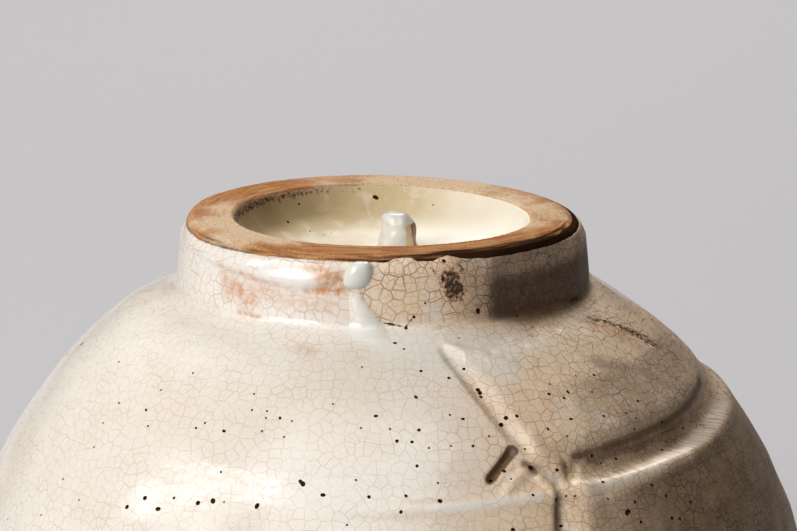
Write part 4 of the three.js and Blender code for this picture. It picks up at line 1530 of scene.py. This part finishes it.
ripple = WELL_RIPPLE * turns + lumps_at(points, WELL_LUMPS) + WELL_RAISED
points[:, 2] += ripple * (1 - ramp(radius, WELL_FLOOR_RADIUS - 1, WELL_FLOOR_RADIUS + 1))
points[:, 2] += face_rise(azimuth, points[:, 2])
write_points(glaze_well, points)
cut_pinholes(glaze_well, WELL_HOLES, np.zeros(len(points)), well_cream, density=0.0, seed=2)

points = read_points(glaze_well)
height = points[:, 2]
rim, up_wall = ramp(height, *WELL_RIM), ramp(height, well_floor - 1.5, well_floor + 2.5)
from_left = (azimuth_of(points) - FROM_LEFT + 180) % 360 - 180
paint(glaze_well, "iron", WELL_IRON * rim * bump(from_left, WELL_IRON_REACH))
# Painted shade on the well's left wall, with the brown of thin glaze.
paint(glaze_well, "thin_and_shade", WELL_THIN_AND_SHADE * bump(from_left, WELL_THIN_AND_SHADE_REACH) * up_wall)

# %% The boss
BOSS_PLACE = (boss_low + boss_high) / 2
BOSS_TOP = boss_high.z
BOSS_LEAN = 0.5
BOSS_ROW = 0.3
# Radius, and how far under the boss's top
BOSS_ROUND = (
    (0.0, 0.0), (1.1, 0.03), (1.65, 0.2), (2.05, 0.6), (2.3, 1.2), (2.4, 2.0), (2.45, 3.0), (2.5, 3.9),
    (2.6, 4.6), (3.1, 5.1),
)
# Radius, and how far under the well's floor
BOSS_SEAT = ((4.4, 0.1), (4.1, 0.35), (0.0, 0.35))
BOSS_LUMPS = ((2.2, 0.28, 11), (0.9, 0.12, 12))
BOSS_TOP_LUMPS = ((1.5, 0.12, 13),)
BOSS_SHRINK = 0.5
BOSS_CAP = (1.1, 1.7)
SKIRT_SPREAD = 0.2
# Azimuth of the middle, and the reach to both sides
SKIRT_MIDDLE, SKIRT_REACH = -75, 80
BARE_MIDDLE, BARE_REACH = 50, 46
TOAST_MIDDLE, TOAST_REACH = 72, 36

boss_rows = [(r, BOSS_TOP - drop) for r, drop in BOSS_ROUND]
boss_rows += [(r, well_floor - drop) for r, drop in BOSS_SEAT]


def boss_piece(name, shrink, finish):
    rows = joined(*[straight(a, b, BOSS_ROW) for a, b in zip(boss_rows, boss_rows[1:])])
    rows = [(max(r - shrink, 0.0), z - shrink / 2) for r, z in rows]
    piece = turned_piece(name, rows, finish, even_steps(72))
    points = read_points(piece)
    azimuth, up = azimuth_of(points), ramp(points[:, 2], well_floor, BOSS_TOP)
    skirt = 1 + SKIRT_SPREAD * bump(azimuth - SKIRT_MIDDLE, SKIRT_REACH) * (1 - up) ** 2
    pushed = outward_from_axis(points, 0.6) * lumps_at(points, BOSS_LUMPS)[:, None]
    points[:, :2] *= skirt[:, None]
    points += pushed
    points[:, 2] += lumps_at(points, BOSS_TOP_LUMPS) * ramp(points[:, 2], well_floor + 1, BOSS_TOP)
    points[:, 0] += BOSS_LEAN * (0.3 - ramp(points[:, 2], BOSS_TOP - 2.6, BOSS_TOP))
    write_points(piece, points + (BOSS_PLACE.x, BOSS_PLACE.y, 0))
    below_cap = ramp(BOSS_TOP - points[:, 2], *BOSS_CAP)
    paint(piece, "bare", bump(azimuth - BARE_MIDDLE, BARE_REACH) * below_cap)
    paint(piece, "toast_and_shade", bump(azimuth - TOAST_MIDDLE, TOAST_REACH) * below_cap)
    return piece


glaze_boss = boss_piece("glaze_boss", 0.0, boss_white)
boss_clay = boss_piece("boss_clay", BOSS_SHRINK, stoneware)

# %% [markdown]
# ## The run and its bead
# While the bowl stood on its lip to drain, thick glaze ran down the foot and hung there. The bead is a drop
# sunk in the coat. The run below it widens until it is lost on the shoulder, so it is lofted: rows of
# points are followed from the picture to the coat, and raised over it like a low bank.

# %% The bead
BEAD_HALF = (1.9, 1.3, 1.85)
BEAD_SUNK = 0.35
BEAD_LEAN = 0.26
BEAD_SQUARENESS = 0.5
BEAD_SLIMMER = 0.12

angles = np.linspace(-math.pi / 2, math.pi / 2, 25)
bead_rows = [(max(math.cos(a), 0.0) ** BEAD_SQUARENESS, math.sin(a)) for a in angles]
bead_rows[0], bead_rows[-1] = (0.0, -1.0), (0.0, 1.0)
glaze_bead = turned_piece("glaze_bead_drop", bead_rows, pale_glaze, even_steps(48))
drop = read_points(glaze_bead)
drop[:, 0] *= 1 - BEAD_SLIMMER * drop[:, 2]
drop *= BEAD_HALF
drop[:, 0] += BEAD_LEAN * drop[:, 2]
place, normal = at_pixel(coat_surface, *BEAD_PIXEL)
turn = math.atan2(normal[0], -normal[1])
east = np.array([math.cos(turn), math.sin(turn), 0.0])
out = np.array([math.sin(turn), -math.cos(turn), 0.0])
centre = place - out * BEAD_SUNK
write_points(glaze_bead, centre + drop[:, :1] * east - drop[:, 1:2] * out + drop[:, 2:] * (0, 0, 1))
point_outward(glaze_bead.data)

# %% The run: x, y, half width in pixels, height in millimetres
RUN = (
    (356, 284, 7.0, 0.15), (356, 291, 7.0, 0.18), (357, 300, 9.0, 0.3), (361, 309, 12.5, 0.42),
    (365, 318, 16.0, 0.5), (367, 326, 19.0, 0.48), (369, 333, 21.0, 0.36), (371, 340, 22.0, 0.2),
    (373, 346, 20.0, 0.08),
)
RUN_ROWS, RUN_ACROSS = 60, 24
RUN_SUNK, RUN_EDGE_SUNK, RUN_SET_IN = 0.35, 0.03, 0.02
RUN_CROWN = 1.5
TOP_TAPER, LOW_TAPER = 4, 8
RUN_MILK, MILKY_HEIGHT = 0.85, 0.3


def run_piece():
    where = np.linspace(0, len(RUN) - 1, RUN_ROWS + 1)
    rows = np.stack([np.interp(where, range(len(RUN)), column) for column in zip(*RUN)], axis=1)
    tops, bottoms = [], []
    for i, (px, py, half, height) in enumerate(rows):
        end = min(1.0, i / TOP_TAPER, (RUN_ROWS - i) / LOW_TAPER)
        for across in np.linspace(-1, 1, RUN_ACROSS + 1):
            place, normal = at_pixel(coat_surface, px + across * half, py)
            crown = (1 - across * across) ** RUN_CROWN * end
            tops.append(place + normal * (height * crown - RUN_SET_IN))
            bottoms.append(place - normal * (RUN_SUNK * min(1.0, 4 * crown) + RUN_EDGE_SUNK))
    grid = np.arange(len(tops)).reshape(RUN_ROWS + 1, RUN_ACROSS + 1)
    count, faces = len(tops), []
    for i in range(RUN_ROWS):
        for j in range(RUN_ACROSS):
            face = [*grid[i, j : j + 2].tolist(), *grid[i + 1, j : j + 2].tolist()[::-1]]
            faces += [face, [count + corner for corner in reversed(face)]]
    border = np.concatenate([grid[0, :-1], grid[:-1, -1], grid[-1, :0:-1], grid[:0:-1, 0]]).tolist()
    for a, b in zip(border, border[1:] + border[:1]):
        faces.append((b, a, count + a, count + b))
    piece = new_piece("glaze_run_bank", tops + bottoms, faces)
    piece.data.materials.append(cream_glaze)
    point_outward(piece.data)
    return piece


glaze_run = run_piece()
points = read_points(glaze_run)
paint_coat(glaze_run)
over_coat = np.array([coat_surface.find_nearest(Vector(point) * MM)[3] / MM for point in points])
run_milk = RUN_MILK * ramp(over_coat, 0.0, MILKY_HEIGHT)
paint(glaze_run, "milk_and_highlight", np.maximum(marked(points, coat_surface, MILK_AND_HIGHLIGHT_MARKS), run_milk))
print("run:", len(glaze_run.data.polygons), "faces")

# %% [markdown]
# ## Fitting the pieces to the frame
# Each piece rides on the bowl's one body and stands for its solid.
# Nothing is left of the plain solids to see.

# %% Riding and replacing
FITTED = (
    (clay_wall, "bowl_body", "stoneware"),
    (foot_clay, "foot_ring", "stoneware"),
    (boss_clay, "foot_boss", "stoneware"),
    (glaze_outside, "outer_glaze", "cream_glaze"),
    (glaze_lip, "lip_glaze", "cream_glaze"),
    (glaze_inside, "inner_glaze", "cream_glaze"),
    (glaze_well, "well_glaze", "well_cream"),
    (glaze_boss, "boss_glaze", "pale_glaze"),
    (glaze_bead, "glaze_bead", "pale_glaze"),
    (glaze_run, "glaze_run", "pale_glaze"),
)
for piece, node, slot in FITTED:
    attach(piece, "root")
    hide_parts(node)
    piece.data.calc_loop_triangles()
    print(f"{piece.name} stands for {node}: {len(piece.data.loop_triangles)} triangles")
